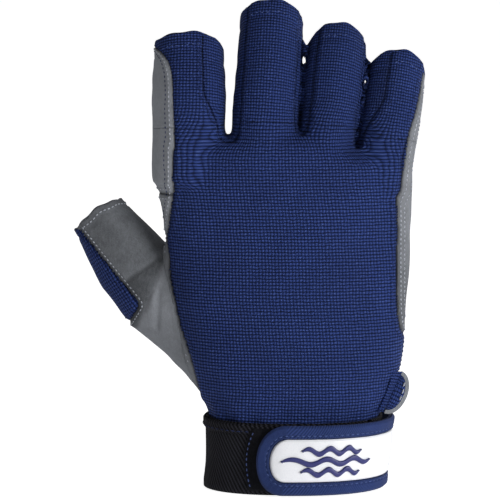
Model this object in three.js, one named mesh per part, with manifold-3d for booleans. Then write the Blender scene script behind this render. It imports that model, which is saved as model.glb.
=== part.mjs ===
// A short-fingered sailing glove for the right hand, in its worn shape, in millimetres.
// The frame: +Z from the wrist to the fingertips, +X from the thumb to the little finger,
// +Y from the back of the hand to the palm. The origin is the centre of the wrist opening.
// Each fabric panel is a thin closed wall that follows the hand, and each finger, the thumb,
// the wrist strap and the pull tab can turn on their own.
import * as THREE from 'three';
import { mergeVertices } from 'three/addons/utils/BufferGeometryUtils.js';
import Module from 'manifold-3d';

const wasm = await Module();
wasm.setup();

// Fabric thicknesses and seams.
const wall = 1.3; // knit or suede, one layer
const layerGap = 0.35; // between two layers that lie on each other
const seamGap = 0.3; // half of the space between two panels along a seam
const jointGap = 0.7; // between the hand and the base of a stall
const notchDepth = 9; // how much higher a stall's palm side starts, so that it can bend

// The hand from the cuff to the knuckles: height, centre x, centre y, half width, half depth.
const handStations = [
  [19, 1.8, 0, 31, 19.6],
  [26, 2, 0, 31, 19.6],
  [33, 2.3, 0, 35, 20.6],
  [41, 2.5, 0, 38.2, 21.2],
  [50, 2.2, 0.4, 40.6, 21],
  [62, 1.4, 1, 42.4, 20.2],
  [73, 0.4, 1.4, 44.3, 19.4],
  [86, 0, 1.5, 46, 18.4],
  [103, -0.9, 1.3, 47.1, 17],
  [117, -2.2, 1, 48.8, 15.4],
  [128, -2.6, 0.6, 49.6, 13.8],
  [139, -2.4, 0.4, 50.2, 12.4],
];
const rowCrowding = 1.4; // rows of a hand panel lie closer together near the wrist
const roundness = 2.3; // of a section: 2 is an ellipse, and more is squarer

// The cuff, in the same way. The hand's fabric is sewn inside its upper edge.
const cuffHeight = 27.5;
const cuffStations = [
  [0, 0, 0, 33.2, 21.6],
  [9, 0.8, 0, 33, 21.6],
  [18, 1.4, 0, 33.4, 21.8],
  [cuffHeight, 2, 0, 34, 22],
];

// The stalls. A root is the centre of a stall's base and the middle of its bend. Tilt leans a
// stall towards the little finger and curl leans it towards the palm, both in degrees.
const stallSizes = {
  index: { root: [-38.4, 0.2, 133.5], tilt: 0.5, curl: [6, 26], length: 36.3,
    section: [[0, 13.8, 12.2], [1, 13.3, 11.6]], back: [-28, 24] },
  middle: { root: [-8.9, 0, 135.8], tilt: 3.6, curl: [6, 30], length: 46.3,
    section: [[0, 12.3, 12.2], [1, 12.4, 11.8]], back: [-50, 62] },
  ring: { root: [15.8, 0, 134.6], tilt: 5.2, curl: [6, 32], length: 38.8,
    section: [[0, 11, 11.6], [1, 11.3, 11.2]], back: [-42, 66] },
  little: { root: [37.7, 0.4, 130], tilt: 8.6, curl: [6, 28], length: 33.9,
    section: [[0, 9.9, 10.2], [1, 9.8, 9.6]], back: [0, 78] },
  thumb: { root: [-59.6, 11.5, 83.6], tilt: -36, curl: [3, 9], length: 24.4,
    section: [[0, 15.1, 13], [0.5, 12.9, 11.8], [1, 11, 11]], back: [-140, -37] },
};
const hemWidth = 6;

// The gusset that carries the thumb: a short straight tube from inside the palm to the thumb.
// A section's rows are a share of the length, the half width and the half depth there.
const gusset = { root: [-24.7, 7, 43.4], tilt: -40.6, curl: [4.5, 4.5], length: 53,
  section: [[0, 13, 11], [0.4, 13.5, 12], [0.7, 16.2, 13.6], [1, 15.1, 13]] };

// The seams of the hand, as turns in degrees from the middle of the back towards the little finger.
const backLeft = -92;
const backRight = 60;
const sidePanelEnd = 108;
const wrapTurns = [-112, -60]; // the suede between the thumb and the index finger
const wrapBottom = 93;
const wrapSplit = 109.5;

// The strap, on the cuff: turns in degrees, heights and proud distances in millimetres.
const strap = { tip: -19, root: 128, bottom: 0.8, top: 27.6, tipTurn: 16, binding: 5 };
const millimetresPerTurn = 0.66; // along the cuff near the middle of its back
const slit = { from: 52, to: 56 };
const layers = {
  loop: [layerGap, 1.1],
  hook: [1.45, 2.1],
  band: [2.45, 3.35],
  binding: [3.65, 4.4],
  plate: [3.65, 4.7],
  emblem: [4.95, 5.5],
};

// The pull tab, sewn along a line at the outer side of the wrist.
const tab = { low: [37.2, -8, 30.4], high: [43.4, -5, 46.6], reach: 5.6, suede: 1.1, facing: 0.8 };

const material = (color, roughness) => new THREE.MeshStandardMaterial({ color, roughness, metalness: 0 });
const knit = material(0x25335f, 0.85);
const suede = material(0x80858c, 0.95);
const blackWeb = material(0x1a1a20, 0.9);
const navyTape = material(0x2a3c70, 0.7);
const whiteRubber = material(0xe8e9ee, 0.45);
const navyRubber = material(0x2b2f66, 0.4);

const radians = THREE.MathUtils.degToRad;
const mix = THREE.MathUtils.lerp;
const smooth = THREE.MathUtils.smoothstep;
const glove = new THREE.Group();

// A smooth curve through rows of numbers, read at a value of their first column.
function through(rows) {
  const curve = new THREE.CubicInterpolant(
    rows.map((row) => row[0]),
    rows.flatMap((row) => row.slice(1)),
    rows[0].length - 1,
  );
  return (at) => Array.from(curve.evaluate(at));
}

// A sine or cosine pushed outwards, for a section between an ellipse and a rectangle.
const squared = (value) => Math.sign(value) * Math.abs(value) ** (2 / roundness);

// A point of a body at a turn from the back, a height, and a distance outside the fabric. The
// body's stations give its centre x, centre y, half width and half depth at each height.
function bodySurface(stations) {
  const shape = through(stations);
  return (turn, height, proud) => {
    const [x, y, halfWidth, halfDepth] = shape(height);
    return new THREE.Vector3(
      x + (halfWidth + proud) * squared(Math.sin(radians(turn))),
      y - (halfDepth + proud) * squared(Math.cos(radians(turn))),
      height,
    );
  };
}

const handPoint = bodySurface(handStations);
const cuffPoint = bodySurface(cuffStations);

// A finger, thumb or gusset tube whose centreline is an arc that curls towards the palm.
class Tube {
  constructor({ root, tilt, curl, length, section }) {
    this.root = new THREE.Vector3(...root);
    this.side = new THREE.Vector3(Math.cos(radians(tilt)), 0, -Math.sin(radians(tilt)));
    this.up = new THREE.Vector3(Math.sin(radians(tilt)), 0, Math.cos(radians(tilt)));
    this.palm = new THREE.Vector3(0, 1, 0);
    this.curl = curl.map(radians);
    this.length = length;
    this.section = through(section);
  }

  lean(along) {
    return mix(this.curl[0], this.curl[1], along / this.length);
  }

  direction(along) {
    const lean = this.lean(along);
    return this.up.clone().multiplyScalar(Math.cos(lean)).addScaledVector(this.palm, Math.sin(lean));
  }

  centre(along) {
    const [first, last] = this.curl;
    const bend = (last - first) / this.length;
    const lean = this.lean(along);
    const rise = bend ? (Math.sin(lean) - Math.sin(first)) / bend : along * Math.cos(first);
    const shift = bend ? (Math.cos(first) - Math.cos(lean)) / bend : along * Math.sin(first);
    return this.root.clone().addScaledVector(this.up, rise).addScaledVector(this.palm, shift);
  }

  point(turn, along, proud) {
    const [halfWidth, halfDepth] = this.section(along / this.length);
    const out = this.side.clone().cross(this.direction(along));
    return this.centre(along)
      .addScaledVector(this.side, (halfWidth + proud) * Math.sin(radians(turn)))
      .addScaledVector(out, (halfDepth + proud) * Math.cos(radians(turn)));
  }

  // Half the seam gap as a turn in degrees.
  seamTurn() {
    return THREE.MathUtils.radToDeg(seamGap / this.section(1)[1]);
  }
}

// A box bent into a wall: across, along and out of the wall each run from 0 to 1.
function bentWall(segmentsAcross, segmentsAlong, place) {
  const geometry = new THREE.BoxGeometry(1, 1, 1, segmentsAcross, segmentsAlong, 1);
  const position = geometry.getAttribute('position');
  for (let i = 0; i < position.count; i += 1) {
    const point = place(position.getX(i) + 0.5, position.getY(i) + 0.5, position.getZ(i) + 0.5);
    position.setXYZ(i, point.x, point.y, point.z);
  }
  geometry.computeVertexNormals();
  return geometry;
}

// A solid plug of a tube or of the hand, used only to cut the panels that it passes through.
function plug(point, from, to, proud) {
  const geometry = new THREE.CylinderGeometry(1, 1, 1, 36, 10);
  const position = geometry.getAttribute('position');
  for (let i = 0; i < position.count; i += 1) {
    const [x, y, z] = [position.getX(i), position.getY(i), position.getZ(i)];
    const along = mix(from, to, y + 0.5);
    const turn = THREE.MathUtils.radToDeg(Math.atan2(x, z));
    const middle = point(0, along, proud).lerp(point(180, along, proud), 0.5);
    const edge = Math.min(1, Math.hypot(x, z));
    const place = middle.lerp(point(turn, along, proud), edge);
    position.setXYZ(i, place.x, place.y, place.z);
  }
  return geometry;
}

function solidOf(geometry) {
  const bare = geometry.clone();
  bare.deleteAttribute('normal');
  bare.deleteAttribute('uv');
  const merged = mergeVertices(bare, 1e-3);
  return new wasm.Manifold(new wasm.Mesh({
    numProp: 3,
    vertProperties: merged.getAttribute('position').array,
    triVerts: new Uint32Array(merged.index.array),
  }));
}

function geometryOf(solid) {
  const mesh = solid.getMesh();
  const geometry = new THREE.BufferGeometry();
  geometry.setAttribute('position', new THREE.BufferAttribute(mesh.vertProperties, 3));
  geometry.setIndex(new THREE.BufferAttribute(mesh.triVerts, 1));
  geometry.computeVertexNormals();
  return geometry;
}

const cutAway = (geometry, ...cutters) => geometryOf(
  cutters.reduce((left, cutter) => left.subtract(solidOf(cutter)), solidOf(geometry)),
);

function add(name, geometry, finish) {
  const mesh = new THREE.Mesh(geometry, finish);
  mesh.name = name;
  glove.add(mesh);
}

const stalls = Object.fromEntries(
  Object.entries(stallSizes).map(([name, sizes]) => [name, new Tube(sizes)]),
);
const gussetTube = new Tube(gusset);
const fingerNames = ['index', 'middle', 'ring', 'little'];

// The hand's top edge at a point: just under the base plane of the stall above it.
function handTop(x, y) {
  const borders = fingerNames.slice(1).map((name, i) => {
    const near = stalls[fingerNames[i]].point(90, 0, 0);
    return near.lerp(stalls[name].point(-90, 0, 0), 0.5).x;
  });
  const { root, up } = stalls[fingerNames[borders.filter((border) => x > border).length]];
  const curlRise = Math.tan(stalls.index.curl[0]) * (y - root.y);
  return root.z - ((x - root.x) * up.x) / up.z - curlRise - jointGap;
}

// A panel of the hand between two seams, up to a height or to the stalls above.
function handPanel({ turns, bottom, top = null, proud = [-wall, 0], across, along }) {
  const turnGap = THREE.MathUtils.radToDeg(seamGap / 40);
  return bentWall(across, along, (u, v, w) => {
    const turn = mix(turns[0] + turnGap, turns[1] - turnGap, u);
    const reach = (height) => handPoint(turn, height, mix(...proud, w));
    const edge = reach(stallSizes.middle.root[2]);
    const end = top ?? handTop(edge.x, edge.y);
    return reach(mix(bottom, end, v ** rowCrowding));
  });
}

// A panel of a stall between two seams. Its base rises towards the palm to leave room to bend.
function stallPanel(tube, [from, to], { proud = [-wall, 0], start = jointGap, end = tube.length, across = 4 } = {}) {
  const gap = tube.seamTurn();
  return bentWall(across, 6, (u, v, w) => {
    const turn = mix(from + gap, to - gap, u);
    const fromBack = Math.abs(THREE.MathUtils.euclideanModulo(turn + 180, 360) - 180);
    const base = start + notchDepth * smooth(fromBack, 85, 135);
    return tube.point(turn, mix(Math.min(base, end - 1), end, v), mix(...proud, w));
  });
}

function hem(name) {
  const tube = stalls[name];
  const inner = [-wall - layerGap - 0.9, -wall - layerGap];
  const geometry = bentWall(20, 1, (u, v, w) => tube.point(
    mix(1, 359, u), mix(tube.length - hemWidth, tube.length - 0.2, v), mix(...inner, w),
  ));
  add(`${name}_hem`, geometry, name === 'thumb' ? suede : knit);
}

function makeHand() {
  const thumbWay = plug(gussetTube.point.bind(gussetTube), -6, gusset.length + 6, layerGap);
  const wrapWay = bentWall(10, 14, (u, v, w) => handPoint(
    mix(...wrapTurns, u), mix(wrapBottom, 139, v), mix(-wall - 2, 2, w),
  ));
  const bottom = 21;
  const back = handPanel({ turns: [backLeft, backRight], bottom, across: 14, along: 10 });
  const palm = handPanel({ turns: [sidePanelEnd, 360 + backLeft], bottom, across: 16, along: 10 });
  add('back_panel', cutAway(back, thumbWay, wrapWay), knit);
  add('palm_panel', cutAway(palm, thumbWay, wrapWay), suede);
  add('outer_side_panel', handPanel({ turns: [backRight, sidePanelEnd], bottom, across: 5, along: 10 }), suede);
  const wrap = { turns: wrapTurns, across: 5, along: 3 };
  add('palm_side_wrap', handPanel({ ...wrap, bottom: wrapBottom + seamGap, top: wrapSplit - seamGap }), suede);
  add('index_side_patch', handPanel({ ...wrap, bottom: wrapSplit + seamGap }), suede);

  // Double layers on the palm, where rope runs.
  const patch = [layerGap, layerGap + 1];
  add('palm_rope_patch', handPanel({
    turns: [132, 238], bottom: 95, top: 119, proud: patch, across: 10, along: 3,
  }), suede);
  add('palm_heel_patch', handPanel({
    turns: [126, 190], bottom: 36, top: 90, proud: patch, across: 6, along: 6,
  }), suede);
}

function makeGusset() {
  const { root } = stalls.thumb;
  const facing = stalls.thumb.direction(0);
  // How far the gusset's wall runs along itself before it meets the thumb's base plane.
  const reach = (turn, proud) => {
    const start = gussetTube.point(turn, 0, proud);
    const end = gussetTube.point(turn, gusset.length, proud);
    const way = end.clone().sub(start);
    return ((root.clone().sub(start).dot(facing) - jointGap) / way.dot(facing)) * gusset.length;
  };
  const half = (from, to) => bentWall(14, 4, (u, v, w) => {
    const turn = mix(from, to, u);
    const proud = mix(-wall, 0, w);
    return gussetTube.point(turn, mix(0, reach(turn, proud), v), proud);
  });
  const handCore = plug(handPoint, 22, 128, layerGap);
  add('thumb_gusset_outer', cutAway(half(-179.5, -0.5), handCore), suede);
  add('thumb_gusset_web', cutAway(half(0.5, 179.5), handCore), suede);
}

function makeFingers() {
  const walls = {
    index: { index_wrap: [[118, 332], suede, 10], index_fourchette: [[24, 118], knit, 5] },
    middle: {
      middle_inner_fourchette: [[-118, -50], knit, 4],
      middle_outer_fourchette: [[62, 118], knit, 4],
      middle_palm: [[118, 242], suede, 6],
    },
    ring: {
      ring_inner_fourchette: [[-118, -42], knit, 4],
      ring_outer_fourchette: [[66, 118], knit, 4],
      ring_palm: [[118, 242], suede, 6],
    },
    little: { little_fourchette: [[-118, 0], knit, 6], little_palm: [[78, 242], suede, 8] },
  };
  for (const name of fingerNames) {
    add(`${name}_back`, stallPanel(stalls[name], stallSizes[name].back), knit);
    for (const [panel, [turns, finish, across]] of Object.entries(walls[name])) {
      add(panel, stallPanel(stalls[name], turns, { across }), finish);
    }
    hem(name);
  }
}

function makeThumb() {
  const tube = stalls.thumb;
  const [from, to] = stallSizes.thumb.back;
  add('thumb_inset', stallPanel(tube, [from, to], { across: 6 }), knit);
  add('thumb_suede', stallPanel(tube, [to, from + 360], { across: 14 }), suede);
  hem('thumb');
}

function cuffBand([from, to], proud = [-wall - 0.3, 0], across = 8, [bottom, top] = [0, cuffHeight]) {
  return bentWall(across, 2, (u, v, w) => cuffPoint(mix(from, to, u), mix(bottom, top, v), mix(...proud, w)));
}

function makeCuff() {
  add('cuff_back', cuffBand([-75, slit.from], undefined, 12), blackWeb);
  add('cuff_outer_side', cuffBand([slit.to, 117.5], undefined, 6), blackWeb);
  add('cuff_palm', cuffBand([118, 284.5], undefined, 14), blackWeb);
  add('loop_patch', cuffBand([-30, slit.from - 1], layers.loop, 8, [1.5, cuffHeight - 1.5]), blackWeb);
  add('cuff_top_binding', cuffBand([129, 329], [layerGap, 1], 16, [cuffHeight - 3, cuffHeight]), blackWeb);
}

// The strap's outline, inset by a width: its turn and height at a share of the way from the top of
// its root, round the tip, to the bottom of its root.
function strapOutline(share, inset, rootTurn = strap.root) {
  const tipShare = 0.4;
  const middle = (strap.top + strap.bottom) / 2;
  const halfHeight = (strap.top - strap.bottom) / 2 - inset;
  const tipTurn = strap.tipTurn - inset / millimetresPerTurn;
  const shoulder = strap.tip + strap.tipTurn;
  const straight = (1 - tipShare) / 2;
  if (share < straight) {
    return [mix(rootTurn, shoulder, share / straight), middle + halfHeight];
  }
  if (share > 1 - straight) {
    return [mix(shoulder, rootTurn, (share - 1 + straight) / straight), middle - halfHeight];
  }
  const swing = Math.PI * ((share - straight) / tipShare);
  return [shoulder - tipTurn * Math.sin(swing), middle + halfHeight * Math.cos(swing)];
}

// A layer of the strap inside its outline, from its rounded tip to a turn.
function strapLayer(inset, proud, rootTurn, across) {
  return bentWall(across, 10, (u, v, w) => {
    const swing = Math.PI * (1 - v);
    const middle = (strap.top + strap.bottom) / 2;
    const halfHeight = (strap.top - strap.bottom) / 2 - inset;
    const tipTurn = strap.tipTurn - inset / millimetresPerTurn;
    const start = strap.tip + strap.tipTurn - tipTurn * Math.sin(swing);
    return cuffPoint(mix(start, rootTurn, u), middle + halfHeight * Math.cos(swing), mix(...proud, w));
  });
}

function makeStrap() {
  add('strap_band', strapLayer(0, layers.band, strap.root, 14), navyTape);
  add('hook_patch', strapLayer(4, layers.hook, 46, 8), blackWeb);
  add('strap_binding', bentWall(34, 1, (u, v, w) => {
    const [turn, height] = strapOutline(u, mix(0, strap.binding, v), strap.root - 12);
    return cuffPoint(turn, height, mix(...layers.binding, w));
  }), navyTape);
  add('badge_plate', strapLayer(strap.binding + layerGap, layers.plate, 96, 12), whiteRubber);

  // Three raised waves on the badge.
  const waves = { top: [18, 3, 38], middle: [14, -5, 46], bottom: [10, 3, 38] };
  for (const [name, [height, from, to]] of Object.entries(waves)) {
    add(`badge_wave_${name}`, bentWall(18, 1, (u, v, w) => {
      const crest = Math.sin(u * Math.PI * 6);
      const thick = 2.2 * Math.sqrt(Math.max(0.06, 1 - (2 * u - 1) ** 6));
      return cuffPoint(mix(from, to, u), height + crest + (v - 0.5) * thick, mix(...layers.emblem, w));
    }), navyRubber);
  }
}

// The pull tab: a half-oval of suede with a knit facing, standing out from the line it is sewn on.
function makeTab() {
  const low = new THREE.Vector3(...tab.low);
  const high = new THREE.Vector3(...tab.high);
  const line = high.clone().sub(low);
  const half = line.length() / 2;
  const outwards = new THREE.Vector3(1, 0.15, 0).cross(line).cross(line).negate().normalize();
  const facing = outwards.clone().cross(line.clone().normalize());
  const leaf = (thickness, from, shrink) => {
    const outline = new THREE.Shape();
    outline.absellipse(0, 0, tab.reach - shrink, half - shrink, -Math.PI / 2, Math.PI / 2, false);
    const geometry = new THREE.ExtrudeGeometry(outline, { depth: thickness, bevelEnabled: false, curveSegments: 10 });
    const place = new THREE.Matrix4().makeBasis(outwards, line.clone().normalize(), facing.clone());
    place.setPosition(low.clone().lerp(high, 0.5).addScaledVector(facing, from));
    return geometry.applyMatrix4(place);
  };
  add('pull_tab', leaf(tab.suede, -tab.suede - layerGap / 2, 0), suede);
  add('pull_tab_facing', leaf(tab.facing, layerGap / 2, 2.2), knit);
}

makeHand();
makeGusset();
makeFingers();
makeThumb();
makeCuff();
makeStrap();
makeTab();

export default glove;
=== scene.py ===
"""A short-fingered sailing glove for the right hand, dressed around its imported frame.

The skin of the glove is one soft form, lofted from the hand, the finger stalls and the thumb and
fused into a single surface. It is then cut along its seams into fabric panels. The cuff, the strap
and the pull tab are made as bands that follow the wrist.
"""
import logging
import math
from dataclasses import dataclass, field
from enum import Enum
from typing import Callable, Iterable, Sequence

import bmesh
import bpy
import numpy as np
from mathutils import Matrix, Vector, noise


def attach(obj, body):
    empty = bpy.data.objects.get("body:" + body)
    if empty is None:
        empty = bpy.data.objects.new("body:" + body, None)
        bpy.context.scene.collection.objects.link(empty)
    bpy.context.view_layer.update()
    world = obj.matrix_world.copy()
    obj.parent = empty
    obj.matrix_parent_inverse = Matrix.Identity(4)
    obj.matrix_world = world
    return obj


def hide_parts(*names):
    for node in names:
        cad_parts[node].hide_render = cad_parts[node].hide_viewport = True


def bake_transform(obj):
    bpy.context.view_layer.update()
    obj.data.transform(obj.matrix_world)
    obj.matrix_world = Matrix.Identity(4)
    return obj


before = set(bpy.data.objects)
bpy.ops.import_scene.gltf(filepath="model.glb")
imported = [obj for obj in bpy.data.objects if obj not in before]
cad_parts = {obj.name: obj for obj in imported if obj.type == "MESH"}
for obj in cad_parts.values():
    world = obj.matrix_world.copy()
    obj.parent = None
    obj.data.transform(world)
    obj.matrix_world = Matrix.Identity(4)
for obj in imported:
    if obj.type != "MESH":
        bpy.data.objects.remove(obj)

LOG = logging.getLogger("glove")
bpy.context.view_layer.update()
MM = 0.001
Array = np.ndarray


# --- Curves and measures

def through(rows: Sequence[Sequence[float]], at: Array) -> Array:
    """Reads a smooth curve through rows of numbers.

    Args:
        rows: each row is a position followed by the values there, in order of position.
        at: the positions to read, of any shape.

    Returns:
        The values, in a new last axis.
    """
    table = np.array(rows, float)
    x, y = table[:, 0], table[:, 1:]
    steps = np.diff(x)[:, None]
    slopes = np.diff(y, axis=0) / steps
    tangents = np.vstack([slopes[:1], (slopes[1:] + slopes[:-1]) / 2, slopes[-1:]])
    where = np.clip(np.searchsorted(x, at) - 1, 0, len(x) - 2)
    width = steps[where, 0]
    t = np.clip((np.asarray(at, float) - x[where]) / width, 0, 1)[..., None]
    width = width[..., None]
    return ((2 * t**3 - 3 * t**2 + 1) * y[where] + (t**3 - 2 * t**2 + t) * width * tangents[where]
            + (3 * t**2 - 2 * t**3) * y[where + 1] + (t**3 - t**2) * width * tangents[where + 1])


def ease(value: Array, low: float, high: float) -> Array:
    """A smooth step from 0 at low to 1 at high."""
    t = np.clip((np.asarray(value, float) - low) / (high - low), 0, 1)
    return t * t * (3 - 2 * t)


def soft_min(a: Array, b: Array, radius: float) -> Array:
    """The smaller of two distances, rounded over a radius where they are alike."""
    h = np.clip(0.5 + 0.5 * (b - a) / radius, 0, 1)
    return b + (a - b) * h - radius * h * (1 - h)


def soft_max(a: Array, b: Array, radius: float) -> Array:
    """The larger of two distances, rounded over a radius where they are alike."""
    return -soft_min(-a, -b, radius)


def alike(*values: Array | float) -> list[Array]:
    """Numbers or arrays, brought to one shape."""
    return np.broadcast_arrays(*(np.asarray(value, float) for value in values))


def bell(value: Array, width: float) -> Array:
    """A smooth bump: 1 where a value is 0, fading over a width to both sides."""
    return np.exp(-(value / width) ** 2)


def squared(value: Array, roundness: float) -> Array:
    """A sine or cosine pushed outwards, for a section between an ellipse and a rectangle."""
    return np.sign(value) * np.abs(value) ** (2 / roundness)


@dataclass
class Trunk:
    """The hand or the cuff: rounded sections stacked along +Z, in millimetres.

    Each station is a height, the centre's x and y, the half width and the half depth.
    """

    stations: tuple[tuple[float, ...], ...]
    roundness: float = 2.3

    def point(self, turn: Array, height: Array, proud: Array = 0.0) -> Array:
        """Points at turns in degrees from the middle of the back, heights and distances outside."""
        turn, height, proud = alike(turn, height, proud)
        shape = through(self.stations, height)
        angle = np.radians(turn)
        return np.stack([
            shape[..., 0] + (shape[..., 2] + proud) * squared(np.sin(angle), self.roundness),
            shape[..., 1] - (shape[..., 3] + proud) * squared(np.cos(angle), self.roundness),
            height,
        ], -1)

    def outside(self, points: Array) -> Array:
        """About how far points lie outside the surface, in millimetres."""
        shape = through(self.stations, points[:, 2])
        x = np.abs(points[:, 0] - shape[:, 0]) / shape[:, 2]
        y = np.abs(points[:, 1] - shape[:, 1]) / shape[:, 3]
        reach = (x**self.roundness + y**self.roundness) ** (1 / self.roundness)
        return (reach - 1) * np.sqrt(shape[:, 2] * shape[:, 3])

    def turn(self, points: Array) -> Array:
        """The turns of points in degrees from the middle of the back, from -180 to 180."""
        shape = through(self.stations, points[:, 2])
        x = (points[:, 0] - shape[:, 0]) / shape[:, 2]
        y = (points[:, 1] - shape[:, 1]) / shape[:, 3]
        power = self.roundness / 2
        return np.degrees(np.arctan2(np.sign(x) * np.abs(x) ** power,
                                     -np.sign(y) * np.abs(y) ** power))


@dataclass
class Stall:
    """A finger's or thumb's tube, whose centreline is an arc that curls towards the palm.

    Lengths are in millimetres and angles in degrees. Each section is a share of the length, a half
    width and a half depth. back holds the turns of the two seams beside the knit back, and flare
    how much further round they lie at the root.
    """

    name: str
    root: tuple[float, float, float]
    tilt: float
    curl: tuple[float, float]
    length: float
    sections: tuple[tuple[float, float, float], ...]
    back: tuple[float, float] = (0.0, 0.0)
    flare: tuple[float, float] = (0.0, 0.0)

    def __post_init__(self) -> None:
        """Works out the tube's own directions."""
        tilt = math.radians(self.tilt)
        self.side = np.array([math.cos(tilt), 0, -math.sin(tilt)])
        self.up = np.array([math.sin(tilt), 0, math.cos(tilt)])
        self.palm = np.array([0.0, 1.0, 0.0])

    def lean(self, along: Array) -> Array:
        """The lean towards the palm, in radians, at distances along the tube."""
        first, last = np.radians(self.curl)
        return first + (last - first) * np.asarray(along, float) / self.length

    def direction(self, along: Array) -> Array:
        """Unit vectors along the centreline."""
        lean = self.lean(along)[..., None]
        return np.cos(lean) * self.up + np.sin(lean) * self.palm

    def out(self, along: Array) -> Array:
        """Unit vectors towards the back of the tube."""
        lean = self.lean(along)[..., None]
        return np.sin(lean) * self.up - np.cos(lean) * self.palm

    def centre(self, along: Array) -> Array:
        """Points on the centreline."""
        first = math.radians(self.curl[0])
        bend = (math.radians(self.curl[1]) - first) / self.length
        lean = self.lean(along)
        rise = ((np.sin(lean) - math.sin(first)) / bend)[..., None]
        shift = ((math.cos(first) - np.cos(lean)) / bend)[..., None]
        return np.array(self.root) + rise * self.up + shift * self.palm

    def size(self, along: Array) -> Array:
        """Half widths and half depths at distances along the tube."""
        return through(self.sections, np.asarray(along, float) / self.length)

    def point(self, turn: Array, along: Array, proud: Array = 0.0) -> Array:
        """Points at turns from the back, distances along the tube and distances outside it."""
        turn, along, proud = alike(turn, along, proud)
        size = self.size(along) + proud[..., None]
        angle = np.radians(turn)
        return (self.centre(along) + (size[..., 0] * np.sin(angle))[..., None] * self.side
                + (size[..., 1] * np.cos(angle))[..., None] * self.out(along))

    def locate(self, points: Array) -> tuple[Array, Array, Array]:
        """Finds points in the tube's own measures.

        Args:
            points: positions in millimetres, one a row.

        Returns:
            How far along they are, their turns in degrees, and their distance from the centreline
            as a share of the tube's own.
        """
        along = np.clip((points - np.array(self.root)) @ self.up, -40, self.length + 20)
        for _ in range(6):
            offset = points - self.centre(along)
            along = along + np.einsum("ij,ij->i", offset, self.direction(along))
        offset = points - self.centre(along)
        size = self.size(along)
        x = offset @ self.side / size[:, 0]
        y = np.einsum("ij,ij->i", offset, self.out(along)) / size[:, 1]
        return along, np.degrees(np.arctan2(x, y)), np.hypot(x, y)


HAND = Trunk(stations=(
    (19, 1.8, 0, 31, 19.6), (26, 2, 0, 31.4, 19.8), (33, 2.3, 0, 35, 20.6),
    (41, 2.5, 0, 38.2, 21.2),
    (50, 2.2, 0.4, 40.6, 21), (62, 1.4, 1, 42.4, 20.2), (73, 0.4, 1.4, 44.3, 19.4),
    (86, 0, 1.5, 46, 18.4), (103, -0.9, 1.3, 47.1, 17), (117, -2.2, 1, 48.8, 15.4),
    (128, -2.6, 0.6, 49.6, 13.8), (139, -2.4, 0.4, 50.2, 12.4),
))
CUFF = Trunk(stations=((0, 0, 0, 33.2, 21.6), (9, 0.8, 0, 33, 21.6), (18, 1.4, 0, 33.4, 21.8),
                       (27.5, 2, 0, 34, 22)))
INDEX = Stall("index", (-38.4, 0.2, 133.5), 0.5, (6, 26), 36.3,
              ((-0.6, 13.6, 12.6), (0, 14.0, 12.2), (0.2, 13.8, 12), (0.5, 14, 11.9),
               (1, 13.2, 11.6), (1.2, 13.2, 11.6)), (-28, 24), (0, 34))
MIDDLE = Stall("middle", (-9.4, 0, 135.8), 3.7, (6, 30), 46.3,
               ((-0.6, 12, 12.6), (0, 12.6, 12.2), (0.15, 12.4, 12), (0.4, 12.3, 11.9),
                (0.7, 12.2, 11.8), (1, 12, 11.8), (1.15, 10.5, 11)), (-50, 62))
RING = Stall("ring", (14.3, 0, 134.6), 6.8, (6, 32), 38.8,
             ((-0.6, 10.6, 12), (0, 10.6, 11.6), (0.5, 10.9, 11.3), (1, 10.6, 11.2),
              (1.15, 9, 10.5)), (-42, 66))
LITTLE = Stall("little", (36.8, 0.4, 130), 8.45, (6, 28), 33.9,
               ((-0.6, 10.4, 10.6), (0, 11.2, 10.2), (0.4, 10.9, 9.9), (0.7, 10.7, 9.7),
                (1, 10.5, 9.6), (1.15, 8.6, 9)), (-14, 78), (46, 0))
THUMB = Stall("thumb", (-59.6, 11.5, 83.6), -36, (3, 9), 24.4,
              ((-0.3, 15.4, 13.2), (0, 15.1, 13), (0.5, 12.9, 11.8), (1, 11, 11), (1.2, 11, 11)))
GUSSET = Stall("gusset", (-24.7, 7, 43.4), -40.6, (4.49, 4.51), 53,
               ((0, 13, 11), (0.4, 13.5, 12), (0.7, 16.2, 13.6), (1, 15.1, 13), (1.1, 14.8, 12.9)))
FINGERS = (INDEX, MIDDLE, RING, LITTLE)
# At each mouth: how much lower its inner and outer sides are cut, and how much its edge ripples.
MOUTHS = {"index": (0.2, 2.2, 0.25), "middle": (2, 3.4, 0.25), "ring": (4.6, 3.6, 0.3),
          "little": (4.4, 4.2, 0.4), "thumb": (0.6, 0.8, 0.45)}


# --- Seams: signed distances in millimetres over the skin, below 0 inside a panel

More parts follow.
